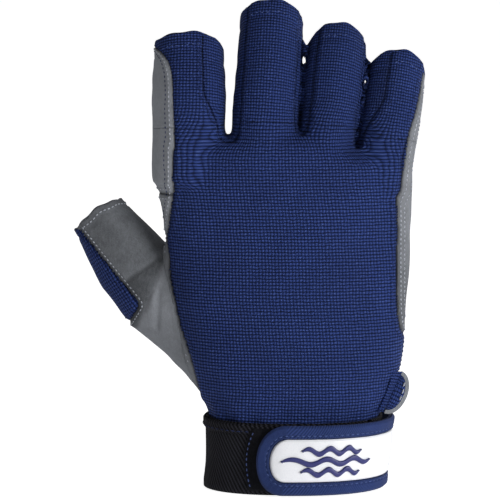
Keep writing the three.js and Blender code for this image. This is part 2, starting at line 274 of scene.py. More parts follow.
@dataclass
class SeamPlan:
    """Where the skin's seams run. Heights and places are in millimetres, turns in degrees."""

    knit_left: tuple[tuple[float, float], ...] = (
        (20, -36), (27, -36), (34, -34.5), (48, -37), (55, -39), (62, -41.2), (72, -43.4),
        (81, -45), (90, -45.8), (97, -46.4), (100, -45.6), (105, -45), (115, -43.4), (125, -42.9),
        (137, -43.4), (148, -43.9), (154, -44.1), (159, -44.7), (164, -47), (167, -51), (169, -58),
    )
    knit_right: tuple[tuple[float, float], ...] = (
        (20, 62), (50, 62), (54, 52), (57, 45.5), (60, 42.6), (66, 41), (80, 40.4), (100, 40.3),
        (117, 40.3), (125, 41.5), (135, 44.2), (142, 46.6), (149, 48.6), (157, 50.5), (170, 54),
    )
    web_tops: tuple[tuple[float, float], ...] = (
        (-60, 127), (-50, 130), (-23.8, 132.2), (2.8, 134.4), (24.5, 128.4), (48, 122), (60, 120),
    )
    split_rise: tuple[tuple[float, float], ...] = (
        (-60, 137.2), (-38.4, 137), (-24, 138.2), (-9, 139.2), (3, 138.5), (16, 138), (28, 135.6),
        (38, 133.4), (55, 130.6),
    )
    web_seam_drop: float = 2.6
    seam_rounding: float = 4.0
    back_edge_turn: float = 93.0
    side_panel_end: float = 108.0
    wrap_bottom: float = 96.0
    wrap_split: float = 112.5
    fourchette_end: float = 118.0
    gusset_proud: float = 1.2
    inset_top: tuple[float, float] = (-80.6, 98.6)
    inset_corner: tuple[float, float] = (-56.9, 70)
    inset_foot: tuple[float, float] = (-61, 63)
    crease_left: tuple[float, float] = (-61.2, 80.2)
    fold_top: tuple[float, float] = (-46.9, 89.7)
    fold_foot: tuple[float, float] = (-55.5, 68)
    small_fold: tuple[tuple[float, float], ...] = ((-49.5, 76), (-50.5, 61))
    hem: float = 6.0


SEAMS = SeamPlan()


class Probe:
    """Reads the glove's own measures at many points at once."""

    def __init__(self, points: Array) -> None:
        """Locates the points.

        Args:
            points: positions in millimetres, one a row.
        """
        self.points = points
        self.x, self.y, self.z = points.T
        self.hand_turn = HAND.turn(points)
        self.hand_outside = HAND.outside(points)
        located = [stall.locate(points) for stall in FINGERS]
        self.along = np.array([item[0] for item in located])
        self.turns = np.array([item[1] for item in located])
        self.share = np.array([item[2] for item in located])
        self.width = np.array([stall.sections[1][1] for stall in FINGERS])
        self.finger = np.argmin(self.share, axis=0)
        self.thumb_along, self.thumb_turn, self.thumb_share = THUMB.locate(points)

    def own(self, table: Array) -> Array:
        """Picks each point's own finger out of a table with one row a finger."""
        return np.take_along_axis(table, self.finger[None, :], 0)[0]

    def strip(self, number: int, low: Array | float, high: Array | float) -> Array:
        """Distance to a lengthwise strip of one finger between two turns."""
        turn = self.turns[number]
        reach = np.maximum(low - turn, turn - high)
        return np.radians(reach) * self.width[number]

    def web_height(self) -> Array:
        """The height of the webs between the fingers, at each point's x."""
        return through(SEAMS.web_tops, self.x)[:, 0]

    def knit(self) -> Array:
        """The knit back: over the hand, and up the back of each finger, rounded into the webs."""
        left = through(SEAMS.knit_left, self.z)[:, 0] - self.x
        right = self.x - through(SEAMS.knit_right, self.z)[:, 0]
        back = np.radians(np.abs(self.hand_turn) - SEAMS.back_edge_turn) * 30
        body = np.maximum(np.maximum(left, right), back)
        over_hand = soft_max(body, self.z - self.web_height() + SEAMS.web_seam_drop, 2.0)
        field_value = over_hand
        for number, stall in enumerate(FINGERS):
            near_root = ease(self.along[number], 17, 1)
            low = stall.back[0] - stall.flare[0] * near_root
            high = stall.back[1] + stall.flare[1] * near_root
            if stall is INDEX:
                strip = np.maximum(left, self.strip(number, -116, high))
            elif stall is LITTLE:
                strip = np.maximum(right, self.strip(number, low, 110))
            else:
                strip = self.strip(number, low, high)
            strip = np.maximum(strip, -(self.along[number] + 14))
            field_value = soft_min(field_value, strip, SEAMS.seam_rounding)
        return field_value

    def palm(self) -> Array:
        """The suede palm, with the palm sides of the fingers."""
        hand = np.radians(SEAMS.side_panel_end - np.abs(self.hand_turn)) * 30
        field_value = np.maximum(hand, self.z - self.web_height() + SEAMS.web_seam_drop)
        for number in range(len(FINGERS)):
            strip = np.radians(SEAMS.fourchette_end - np.abs(self.turns[number]))
            strip = strip * self.width[number]
            strip = np.maximum(strip, -(self.along[number] + 14))
            field_value = soft_min(field_value, strip, SEAMS.seam_rounding)
        return field_value

    def inset(self) -> Array:
        """The knit inset along the thumb's outer side."""
        top, corner, foot = np.array((SEAMS.inset_top, SEAMS.inset_corner, SEAMS.inset_foot))
        flat = np.stack([self.x, self.z], -1)
        down = (corner - top) / np.linalg.norm(corner - top)
        inwards = (foot - corner) / np.linalg.norm(foot - corner)
        edge = (flat - top) @ np.array([-down[1], down[0]])
        end = (flat - corner) @ np.array([-inwards[1], inwards[0]])
        around = np.radians(-142 - self.thumb_turn) * 13
        around = np.where(self.thumb_turn > 60, 20.0, around)
        return soft_max(soft_max(edge, end, 2.5), around, 2.5)

    def gusset(self) -> Array:
        """The thumb and its gusset, where they stand outside the hand."""
        proud = SEAMS.gusset_proud - self.hand_outside
        above = self.z - 103 - 0.9 * np.maximum(-50 - self.x, 0)
        return np.maximum(np.maximum(proud, self.x + 24), above)

    def split(self) -> Array:
        """Below 0 on the hand, and above it where the skin bends with a finger."""
        return self.z - through(SEAMS.split_rise, self.x)[:, 0] + 0.105 * self.y

    def between(self, number: int) -> Array:
        """Below 0 nearer to one finger than to the next one."""
        return (self.share[number] - self.share[number + 1]) * self.width[number]


def probe_line(probe: Probe, start: tuple[float, float], end: tuple[float, float]) -> Array:
    """Signed distance in the x and z plane from a line, above 0 to the left of its direction."""
    way = np.array(end) - np.array(start)
    way = way / np.linalg.norm(way)
    flat = np.stack([probe.x, probe.z], -1) - np.array(start)
    return flat @ np.array([-way[1], way[0]])


def near_segment(probe: Probe, start: tuple[float, float], end: tuple[float, float]) -> Array:
    """Distance in the x and z plane from a stretch between two points."""
    a, way = np.array(start), np.array(end) - np.array(start)
    flat = np.stack([probe.x, probe.z], -1) - a
    share = np.clip(flat @ way / (way @ way), 0, 1)[:, None]
    return np.linalg.norm(flat - share * way, axis=1)


class Panel(Enum):
    """The fabric panels of the skin."""

    KNIT_BACK = "knit_back"
    OUTER_SIDE = "outer_side"
    INDEX_SIDE = "index_side"
    INDEX_LOWER = "index_lower_wrap"
    PALM = "palm"
    FOURCHETTE = "fourchette"
    THUMB_SUEDE = "thumb_suede"
    THUMB_INSET = "thumb_inset"


PANELS = list(Panel)


def sort_faces(points: Array) -> tuple[Array, Array]:
    """Says which panel and which body each face belongs to.

    Args:
        points: the faces' centres in millimetres.

    Returns:
        Numbers into PANELS, and body numbers: 0 is the hand, 1 to 4 the fingers and 5 the thumb.
    """
    probe = Probe(points)
    knit, palm, thumb = probe.knit() < 0, probe.palm() < 0, probe.gusset() < 0
    panel = np.full(len(points), PANELS.index(Panel.PALM))
    side = ~palm
    panel[side & (probe.x > 0)] = PANELS.index(Panel.OUTER_SIDE)
    panel[side & (probe.x < 0)] = PANELS.index(Panel.INDEX_SIDE)
    lower = (probe.z < SEAMS.wrap_split) & (probe.x < 0)
    panel[side & lower] = PANELS.index(Panel.INDEX_LOWER)
    panel[side & lower & (probe.z < SEAMS.wrap_bottom)] = PANELS.index(Panel.PALM)
    high = probe.z > probe.web_height() - SEAMS.web_seam_drop - 3
    own_turn = probe.own(probe.turns)
    outer = (probe.finger == 3) & (own_turn > 40) | (probe.finger == 0) & (own_turn < -10)
    panel[side & high & ~outer] = PANELS.index(Panel.FOURCHETTE)
    panel[knit] = PANELS.index(Panel.KNIT_BACK)
    panel[thumb & ~knit] = PANELS.index(Panel.THUMB_SUEDE)
    panel[thumb & ~knit & (probe.inset() < 0)] = PANELS.index(Panel.THUMB_INSET)
    body = np.where(probe.split() > 0, probe.finger + 1, 0)
    body[thumb & ~knit] = 5
    return panel, body


# --- The skin's form

def coordinates(bm: bmesh.types.BMesh) -> Array:
    """The positions of a bmesh's vertices in millimetres."""
    return np.array([v.co[:] for v in bm.verts]) / MM


def face_centres(bm: bmesh.types.BMesh) -> Array:
    """The middles of a bmesh's faces in millimetres."""
    return np.array([face.calc_center_median()[:] for face in bm.faces]) / MM


def ring_edges(bm: bmesh.types.BMesh, ring: Array) -> list[bmesh.types.BMEdge]:
    """Adds a closed ring through points in millimetres, and gives its edges."""
    made = bmesh.ops.create_circle(bm, cap_ends=False, segments=len(ring), radius=1)["verts"]
    for vert, place in zip(made, ring):
        vert.co = Vector(place * MM)
    return list({edge for vert in made for edge in vert.link_edges})


def loft(bm: bmesh.types.BMesh, rings: Iterable[Array]) -> None:
    """Skins a stack of rings and caps its two ends.

    Args:
        bm: the mesh to add to.
        rings: each ring's points in millimetres, all of one length and direction.
    """
    loops = [ring_edges(bm, ring) for ring in rings]
    for lower, upper in zip(loops, loops[1:]):
        bmesh.ops.bridge_loops(bm, edges=lower + upper)
    for end in (loops[0], loops[-1]):
        bmesh.ops.contextual_create(bm, geom=end)


def object_from(bm: bmesh.types.BMesh, name: str) -> bpy.types.Object:
    """Makes a scene object of a bmesh and frees it."""
    mesh = bpy.data.meshes.new(name)
    bm.to_mesh(mesh)
    bm.free()
    made = bpy.data.objects.new(name, mesh)
    bpy.context.scene.collection.objects.link(made)
    return made


def everywhere(probe: Probe) -> Array:
    """True at every point."""
    return np.ones(len(probe.x), bool)


def drop_faces(bm: bmesh.types.BMesh, gone: Iterable[bool]) -> None:
    """Deletes the faces that are marked, in the faces' order."""
    marked = [face for face, out in zip(bm.faces[:], gone) if out]
    bmesh.ops.delete(bm, geom=marked, context="FACES")


def portion(bm: bmesh.types.BMesh, keep: Iterable[bool]) -> bmesh.types.BMesh:
    """A copy of a mesh with only some of its faces."""
    part = bm.copy()
    drop_faces(part, (not kept for kept in keep))
    return part


ON_LINE = 0.12  # A vertex this near a line, in millimetres, counts as being on it.


def cut_along(bm: bmesh.types.BMesh, value_of: Callable[[Probe], Array],
              where: Callable[[Probe], Array]) -> None:
    """Splits faces so that edges follow the line where a field is 0.

    Args:
        bm: a mesh of triangles.
        value_of: the field, in millimetres.
        where: true at the points where the line is wanted.
    """
    bm.verts.ensure_lookup_table()
    bm.verts.index_update()
    probe = Probe(coordinates(bm))
    value, wanted = value_of(probe), where(probe)
    value = np.where(np.abs(value) < ON_LINE, 0.0, value)
    on_line = {bm.verts[i] for i in np.flatnonzero((value == 0) & wanted)}
    for edge in list(bm.edges):
        a, b = edge.verts
        va, vb = value[a.index], value[b.index]
        if va * vb < 0 and wanted[a.index] and wanted[b.index]:
            _, middle = bmesh.utils.edge_split(edge, a, va / (va - vb))
            on_line.add(middle)
    bmesh.ops.connect_verts(bm, verts=list(on_line))
    bmesh.ops.triangulate(bm, faces=[face for face in bm.faces if len(face.verts) > 3])


@dataclass
class SkinForm:
    """The glove's whole skin as one surface, cut along its seams."""

    voxel: float = 1.1
    ring_sides: int = 56
    smoothing: int = 5
    web_smoothing: int = 10
    bottom: float = 22.0
    base: float = 16.0
    hand_rise: float = 118.0
    below_root: float = 17.0
    past_mouth: float = 3.0
    groove: float = 5.0

    def hand_rings(self) -> list[Array]:
        """Rings over the hand. The top ones close in, so that the webs are rounded."""
        turns = np.linspace(0, 360, self.ring_sides, endpoint=False)
        rings = []
        levels = [(share, 0.0) for share in np.linspace(0, 0.965, 16)]
        for share, proud in levels + [(0.985, -1.2), (1.0, -3.6), (1.008, -6.5)]:
            flat = HAND.point(turns, self.base + share * self.hand_rise, proud)
            top = through(SEAMS.web_tops, flat[:, 0])[:, 0]
            rings.append(HAND.point(turns, self.base + share * (top - self.base), proud))
        return rings

    def stall_rings(self, stall: Stall, start: float, end: float, count: int) -> list[Array]:
        """Rings along one stall."""
        turns = np.linspace(0, 360, self.ring_sides, endpoint=False)
        return [stall.point(turns, along) for along in np.linspace(start, end, count)]

    def fused(self) -> bmesh.types.BMesh:
        """Lofts the hand, the fingers and the thumb, and fuses them into one surface."""
        bm = bmesh.new()
        loft(bm, self.hand_rings())
        for stall in FINGERS:
            loft(bm, self.stall_rings(stall, -self.below_root, stall.length + self.past_mouth, 12))
        thumb = self.stall_rings(THUMB, 0, THUMB.length + self.past_mouth, 7)
        loft(bm, self.stall_rings(GUSSET, 2, 48, 8) + thumb)
        bmesh.ops.recalc_face_normals(bm, faces=bm.faces[:])
        rough = object_from(bm, "rough_form")
        remesh = rough.modifiers.new("fuse", "REMESH")
        remesh.mode = "VOXEL"
        remesh.voxel_size = self.voxel * MM
        ready = rough.evaluated_get(bpy.context.evaluated_depsgraph_get())
        fused = bmesh.new()
        fused.from_mesh(ready.to_mesh())
        bpy.data.objects.remove(rough, do_unlink=True)
        return fused

    def soften(self, bm: bmesh.types.BMesh) -> None:
        """Smooths the fused surface, and more in the webs and the crotch of the thumb."""
        axes = {"use_axis_x": True, "use_axis_y": True, "use_axis_z": True}
        for _ in range(self.smoothing):
            bmesh.ops.smooth_vert(bm, verts=bm.verts[:], factor=0.5, **axes)
        probe = Probe(coordinates(bm))
        bm.verts.ensure_lookup_table()
        webs = (np.abs(probe.split() + 4) < 9) & (probe.own(probe.share) > 0.8)
        crotch = (np.abs(probe.hand_outside) < 5) & (probe.thumb_share < 2.2) & (probe.x < -20)
        tight = [bm.verts[i] for i in np.flatnonzero(webs | crotch & (probe.z < 110))]
        for _ in range(self.web_smoothing):
            bmesh.ops.smooth_vert(bm, verts=tight, factor=0.5, **axes)

    def wrinkle(self, bm: bmesh.types.BMesh) -> None:
        """Presses in the soft folds of worn fabric."""
        bm.normal_update()
        for vert, step in zip(bm.verts, folds(Probe(coordinates(bm)))):
            vert.co += vert.normal * (step * MM)

    def cut(self, bm: bmesh.types.BMesh) -> None:
        """Cuts the surface along its seams, its mouths and the bends of the stalls."""
        bmesh.ops.triangulate(bm, faces=bm.faces[:])
        cut_along(bm, lambda probe: probe.z - self.bottom, everywhere)
        cut_along(bm, mouth, everywhere)
        probe = Probe(face_centres(bm))
        drop_faces(bm, (mouth(probe) > 0) | (probe.z < self.bottom))
        cut_along(bm, Probe.knit, lambda probe: probe.palm() > -1)
        cut_along(bm, Probe.palm, lambda probe: (probe.knit() > 0) & (probe.gusset() > -1.0))
        cut_along(bm, Probe.gusset, lambda probe: (probe.x < -24) & (probe.knit() > -0.3))
        cut_along(bm, Probe.inset, lambda probe: probe.gusset() < 0.5)
        for height in (SEAMS.wrap_bottom, SEAMS.wrap_split):
            cut_along(bm, lambda probe: probe.z - height,
                      lambda probe: (probe.x < 0) & (probe.knit() > -0.3) & (probe.palm() > -0.3)
                      & (probe.gusset() > -0.3))
        cut_along(bm, Probe.split, everywhere)
        for number in range(len(FINGERS) - 1):
            cut_along(bm, lambda probe: probe.between(number),
                      lambda probe: (probe.split() > -0.5)
                      & ((probe.finger == number) | (probe.finger == number + 1)))

    def seam_relief(self, bm: bmesh.types.BMesh) -> None:
        """Sinks the seams and raises the turned edges beside them."""
        bm.normal_update()
        probe = Probe(coordinates(bm))
        knit, palm, inset = probe.knit(), probe.palm(), probe.inset()
        thumb = ease(-probe.gusset(), -1, 1)
        low = ease(probe.z, 24, 34)
        depth = 0.5 * bell(knit, 0.5) - 0.35 * bell(np.abs(knit) - 1.4, 0.9)
        depth = depth * low * (1 - 0.4 * ease(probe.split(), -2, 4))
        depth += (0.55 * bell(palm, 0.7)) * (1 - thumb)
        depth += thumb * (0.7 * bell(inset, 0.7) - 0.4 * bell(inset - 1.8, 0.9))
        left = (probe.x < 0) & (knit > 0) & (palm > 0) & (thumb < 0.5)
        depth += left * 0.6 * bell(probe.z - SEAMS.wrap_split, 0.8)
        short = mouth(probe)
        depth += 0.3 * bell(short + SEAMS.hem, 0.7) * (probe.z > 140)
        depth += thumb * 0.35 * bell(short + 3.4, 0.7)
        for vert, step in zip(bm.verts, depth):
            vert.co -= vert.normal * (step * MM)
        self.part_fingers(bm, probe)

    def part_fingers(self, bm: bmesh.types.BMesh, probe: Probe) -> None:
        """Presses a deep groove between stalls that touch, above the webs."""
        for number in range(len(FINGERS) - 1):
            close = np.abs(probe.between(number))
            pair = (probe.finger == number) | (probe.finger == number + 1)
            touching = pair & (np.minimum(probe.share[number], probe.share[number + 1]) > 0.9)
            above = ease(probe.z - probe.web_height(), 0.5, 5)
            depth = touching * above * self.groove * bell(close, 1.5)
            side = np.sign(probe.y - FINGERS[number].centre(probe.along[number])[:, 1])
            for vert, step, way in zip(bm.verts, depth, side):
                vert.co.y -= step * way * MM

    def build(self) -> bmesh.types.BMesh:
        """Makes the cut surface."""
        bm = self.fused()
        self.soften(bm)
        self.wrinkle(bm)
        self.cut(bm)
        self.seam_relief(bm)
        bm.normal_update()
        LOG.info("skin form: %d faces", len(bm.faces))
        return bm


def rim(stall: Stall, turn: Array) -> Array:
    """How far along a stall its open end lies, at turns in degrees. The sides are cut lower."""
    inner, outer, ripple = MOUTHS[stall.name]
    side = np.sin(np.radians(turn))
    drop = inner * np.maximum(-side, 0) ** 4 + outer * np.maximum(side, 0) ** 4
    return (stall.length - drop + ripple * np.sin(np.radians(turn * 3 + 50))
            + 0.25 * np.sin(np.radians(turn * 8)))


def mouth(probe: Probe) -> Array:
    """Above 0 past a stall's open end, and the distance short of it below 0."""
    ends = []
    for number, stall in enumerate(FINGERS):
        far = probe.along[number] - rim(stall, probe.turns[number])
        ends.append(np.where((probe.finger == number) & (probe.z > 140), far, -20))
    far = probe.thumb_along - rim(THUMB, probe.thumb_turn)
    ends.append(np.where((probe.x < -50) & (probe.z > 80) & (probe.thumb_share < 1.5), far, -20))
    return np.max(ends, axis=0)


def waves(points: Array, scale: float, seed: float) -> Array:
    """Smooth noise from -1 to 1 over points in millimetres."""
    shift = Vector((seed, seed * 1.7, seed * 2.3))
    return np.array([noise.noise(Vector(p) / scale + shift) for p in points])


def folds(probe: Probe) -> Array:
    """The height of the soft folds over the skin, in millimetres."""
    broad = 0.5 * waves(probe.points, 24, 3.1) + 0.22 * waves(probe.points, 9, 7.7)
    stretched = probe.points * np.array([0.35, 0.6, 1.6])
    near_wrist = ease(probe.z, 70, 30)
    crosswise = near_wrist * 0.45 * waves(stretched, 7, 1.3)
    fingers = ease(probe.split(), 0, 12)
    across = fingers * 0.3 * waves(probe.points * np.array([0.5, 0.6, 1.5]), 8, 9.2)
    front = ease(-probe.y, -12, -2) * ease(-probe.gusset(), -1, 2)
    crease = front * (0.9 * bell(near_segment(probe, SEAMS.crease_left, SEAMS.fold_top), 1.1)
                      + 1.0 * bell(near_segment(probe, SEAMS.fold_top, SEAMS.fold_foot), 1.0)
                      + 0.9 * bell(near_segment(probe, *SEAMS.small_fold), 1.2))
    gather = ease(probe.z, 38, 26) * ease(probe.z, 22, 28)
    gather = gather * 0.35 * np.sin(np.radians(probe.hand_turn * 16))
    ends = np.array([stall.length for stall in FINGERS])[probe.finger]
    still = 1 - ease(probe.own(probe.along), ends - 9, ends - 1) * (probe.z > 140)
    on_thumb = probe.gusset() < 0.5
    still *= 1 - ease(probe.thumb_along, THUMB.length - 8, THUMB.length - 1) * on_thumb
    return (broad + crosswise + across) * still + gather - crease


# --- Shader building blocks

Socket = bpy.types.NodeSocket


class Bench:
    """Adds and joins the nodes of one material or node group."""

    def __init__(self, tree: bpy.types.NodeTree) -> None:
        """Works on a node tree."""
        self.tree = tree

    def add(self, kind: str, inputs: dict[str | int, object] | None = None,
            **settings: object) -> bpy.types.Node:
        """Adds a node, sets its properties, and sets or joins its inputs."""
        node = self.tree.nodes.new(kind)
        for name, value in settings.items():
            setattr(node, name, value)
        for name, value in (inputs or {}).items():
            self.join(value, node.inputs[name])
        return node

    def join(self, value: object, socket: Socket) -> None:
        """Joins an output to a socket, or sets the socket's own value."""
        if isinstance(value, bpy.types.NodeSocket):
            self.tree.links.new(value, socket)
        else:
            socket.default_value = value

    def math(self, operation: str, a: object, b: object = 0.0, c: object = 0.0) -> Socket:
        """A sum, product or other function of up to three numbers."""
        return self.add("ShaderNodeMath", {0: a, 1: b, 2: c}, operation=operation).outputs[0]

    def ramp(self, value: object, low: float, high: float, out_low: float = 0.0,
             out_high: float = 1.0) -> Socket:
        """A smooth step of a value from one range to another."""
        node = self.add("ShaderNodeMapRange", {0: value, 1: low, 2: high, 3: out_low, 4: out_high},
                        interpolation_type="SMOOTHSTEP")
        return node.outputs[0]

    def mix(self, share: object, a: object, b: object) -> Socket:
        """A mix of two colours."""
        node = self.add("ShaderNodeMix", data_type="RGBA")
        for index, value in ((0, share), (6, a), (7, b)):
            self.join(value, node.inputs[index])
        return node.outputs[2]

    def shade(self, colour: object, amount: object) -> Socket:
        """A colour or vector times a number."""
        vector = colour[:3] if isinstance(colour, tuple) else colour
        node = self.add("ShaderNodeVectorMath", {0: vector, 3: amount}, operation="SCALE")
        return node.outputs[0]

    def noise(self, vector: object, scale: float, detail: float = 2.0,
              roughness: float = 0.5) -> Socket:
        """Noise from 0 to 1."""
        node = self.add("ShaderNodeTexNoise", {"Vector": vector, "Scale": scale, "Detail": detail,
                                               "Roughness": roughness})
        return node.outputs[0]

    def stretched(self, vector: object, scale: tuple[float, float, float],
                  turn: float = 0.0) -> Socket:
        """A vector turned about Z and then scaled."""
        rotation = (0, 0, math.radians(turn))
        turned = self.add("ShaderNodeMapping", {"Vector": vector, "Rotation": rotation}).outputs[0]
        return self.add("ShaderNodeMapping", {"Vector": turned, "Scale": scale}).outputs[0]


class Effect(Enum):
    """The surface effects that several finishes share."""

    KNIT = "honeycomb_knit"
    NAP = "suede_nap"
    TWILL = "ribbed_twill"
    AGE = "handling_marks"


def new_group(effect: Effect, numbers: Iterable[str],
              results: Iterable[str]) -> tuple[Bench, dict, dict]:
    """Starts a node group with a vector and some numbers going in.

    Args:
        effect: names the group.
        numbers: names of the number inputs.
        results: names of the number outputs.

    Returns:
        The bench, the group's inputs by name and its output sockets by name.
    """
    tree = bpy.data.node_groups.new(effect.value, "ShaderNodeTree")
    tree.interface.new_socket("Vector", in_out="INPUT", socket_type="NodeSocketVector")
    for name in numbers:
        tree.interface.new_socket(name, in_out="INPUT", socket_type="NodeSocketFloat")
    for name in results:
        tree.interface.new_socket(name, in_out="OUTPUT", socket_type="NodeSocketFloat")
    bench = Bench(tree)
    entry, leave = bench.add("NodeGroupInput"), bench.add("NodeGroupOutput")
    return bench, {s.name: s for s in entry.outputs}, {s.name: s for s in leave.inputs}


def knit_group() -> None:
    """A honeycomb knit: rows of short floats over small pits, with masks for painted shade in the
    pits and painted highlights on the floats. Lengths are in metres.
    """
    bench, into, out = new_group(Effect.KNIT, ("Across", "Along", "Unevenness"),
                                 ("Height", "Pits", "Painted Highlights"))
    drift = bench.noise(into["Vector"], 420, 1)
    drift = bench.math("MULTIPLY", bench.math("SUBTRACT", drift, 0.5), into["Unevenness"])
    split = bench.add("ShaderNodeSeparateXYZ", {0: into["Vector"]})
    across = bench.math("ADD", bench.math("DIVIDE", split.outputs[0], into["Across"]), drift)
    along = bench.math("ADD", bench.math("DIVIDE", split.outputs[1], into["Along"]), drift)
    column = bench.math("COSINE", bench.math("MULTIPLY", across, 2 * math.pi))
    row = bench.math("COSINE", bench.math("MULTIPLY", along, 2 * math.pi))
    course = bench.math("MULTIPLY_ADD", row, 0.5, 0.5)
    wale = bench.math("MULTIPLY_ADD", column, 0.5, 0.5)
    height = bench.math("MULTIPLY", bench.math("POWER", course, 0.6),
                        bench.math("MULTIPLY_ADD", bench.math("POWER", wale, 0.8), 0.76, 0.24))
    bench.join(height, out["Height"])
    # Pits: the low places of the knit, which its finish paints darker as shade.
    bench.join(bench.ramp(height, 0.5, 0.02), out["Pits"])
    # Painted highlights on the raised floats, uneven along the yarn.
    yarn = bench.noise(bench.stretched(into["Vector"], (1, 2.6, 1)), 900, 1)
    bench.join(bench.math("MULTIPLY", bench.ramp(height, 0.62, 0.95), bench.ramp(yarn, 0.42, 0.68)),
               out["Painted Highlights"])


def nap_group() -> None:
    """Brushed suede: a fine nap lying in soft patches."""
    bench, into, out = new_group(Effect.NAP, ("Scale",), ("Height", "Shade", "Specks"))
    place = bench.shade(into["Vector"], into["Scale"])
    fine = bench.noise(place, 2600, 3, 0.7)
    fibres = bench.noise(bench.stretched(place, (1.0, 1.0, 0.35)), 1500, 2, 0.6)
    patches = bench.noise(place, 190, 3, 0.6)
    height = bench.math("MULTIPLY_ADD", fine, 0.6, bench.math("MULTIPLY", fibres, 0.4))
    bench.join(height, out["Height"])
    lean = bench.math("MULTIPLY_ADD", bench.ramp(patches, 0.3, 0.7), 0.16,
                      bench.math("MULTIPLY", height, 0.95))
    bench.join(lean, out["Shade"])
    bench.join(bench.ramp(fine, 0.6, 0.74), out["Specks"])


def twill_group() -> None:
    """Ribbed twill webbing: slanting ribs crossed by fine threads."""
    bench, into, out = new_group(Effect.TWILL, ("Pitch", "Slant"), ("Height", "Threads"))
    split = bench.add("ShaderNodeSeparateXYZ", {0: into["Vector"]})
    slanted = bench.math("MULTIPLY_ADD", split.outputs[1], into["Slant"], split.outputs[0])
    rib = bench.math("MULTIPLY", bench.math("DIVIDE", slanted, into["Pitch"]), 2 * math.pi)
    cross = bench.math("DIVIDE", split.outputs[1], into["Pitch"])
    cross = bench.math("MULTIPLY", cross, 5 * math.pi)
    height = bench.math("MULTIPLY_ADD", bench.math("SINE", rib), 0.5, 0.5)
    thread = bench.math("MULTIPLY_ADD", bench.math("SINE", bench.math("ADD", cross, rib)), 0.5, 0.5)
    bench.join(bench.math("MULTIPLY_ADD", thread, 0.3, bench.math("MULTIPLY", height, 0.7)),
               out["Height"])
    bench.join(bench.math("MULTIPLY", height, thread), out["Threads"])


def age_group() -> None:
    """Slight handling: broad light and dark areas, and lint."""
    bench, into, out = new_group(Effect.AGE, ("Amount",), ("Shade", "Lint"))
    broad = bench.noise(into["Vector"], 55, 3, 0.55)
    swing = bench.math("MULTIPLY", bench.math("SUBTRACT", broad, 0.5), into["Amount"])
    bench.join(bench.math("ADD", 1.0, swing), out["Shade"])
    lint = bench.noise(bench.stretched(into["Vector"], (1, 1, 3)), 1300, 2, 0.8)
    bench.join(bench.ramp(lint, 0.7, 0.78), out["Lint"])


class Cloth:
    """What every finish shares: its bench, its coordinates and its closing shader."""

    def __init__(self, name: str) -> None:
        """Starts a material."""
        self.material = bpy.data.materials.new(name)
        self.material.use_nodes = True
        self.material.node_tree.nodes.clear()
        self.bench = Bench(self.material.node_tree)
        place = self.bench.add("ShaderNodeTexCoord")
        self.local, self.surface = place.outputs["Object"], place.outputs["UV"]

    def effect(self, effect: Effect, vector: Socket, **numbers: float) -> bpy.types.Node:
        """Places a shared effect."""
        node = self.bench.add("ShaderNodeGroup", node_tree=bpy.data.node_groups[effect.value])
        self.bench.join(vector, node.inputs["Vector"])
        for name, value in numbers.items():
            node.inputs[name].default_value = value
        return node

    def attribute(self, name: str) -> Socket:
        """A number kept on the mesh."""
        return self.bench.add("ShaderNodeAttribute", attribute_name=name).outputs["Fac"]

    def close(self, colour: object, roughness: object, height: object, relief: float,
              **constants: object) -> bpy.types.Material:
        """Adds the shader.

        Args:
            colour: the base colour.
            roughness: the roughness.
            height: the bump's height, from 0 to 1.
            relief: the height of the bump in metres.
            constants: the shader's other inputs, with _ for a space.

        Returns:
            The finished material.
        """
        bump = self.bench.add("ShaderNodeBump",
                              {"Height": height, "Distance": relief, "Strength": 1.0})
        shader = self.bench.add("ShaderNodeBsdfPrincipled", {
            "Base Color": colour, "Roughness": roughness, "Normal": bump.outputs[0]})
        for name, value in constants.items():
            self.bench.join(value, shader.inputs[name.replace("_", " ")])
        self.bench.add("ShaderNodeOutputMaterial", {"Surface": shader.outputs[0]})
        return self.material


Colour = tuple[float, float, float, float]


@dataclass(frozen=True)
class KnitFinish:
    """Honeycomb knit in navy yarn."""

    name: str = "knit_navy"
    # The first colour is painted shade in the knit's pits, the last a painted highlight on its
    # raised floats.
    deep: Colour = (0.0035, 0.007, 0.026, 1)
    face: Colour = (0.0235, 0.0455, 0.182, 1)
    painted_highlight: Colour = (0.085, 0.135, 0.36, 1)
    across: float = 0.00126
    along: float = 0.00123
    relief: float = 0.00042

    def make(self) -> bpy.types.Material:
        """Builds the material."""
        cloth = Cloth(self.name)
        bench = cloth.bench
        knit = cloth.effect(Effect.KNIT, cloth.surface, Across=self.across, Along=self.along,
                            Unevenness=0.5)
        age = cloth.effect(Effect.AGE, cloth.local, Amount=0.5)
        # Painted shade in the pits and painted highlights on the floats.
        colour = bench.mix(knit.outputs["Pits"], self.face, self.deep)
        colour = bench.mix(bench.math("MULTIPLY", knit.outputs["Painted Highlights"], 0.6), colour, self.painted_highlight)
        # Painted shade in the seams' ditches: darker near a sunken seam.
        painted_seam_shade = bench.math("MULTIPLY_ADD", cloth.attribute("seam"), -0.42, 1.0)
        colour = bench.shade(colour, bench.math("MULTIPLY", painted_seam_shade, age.outputs["Shade"]))
        roughness = bench.math("MULTIPLY_ADD", knit.outputs["Pits"], 0.12, 0.76)
        return cloth.close(colour, roughness, knit.outputs["Height"], self.relief,
                           Specular_IOR_Level=0.12, Sheen_Weight=0.03, Sheen_Roughness=0.4,
                           Sheen_Tint=(0.35, 0.45, 0.9, 1))


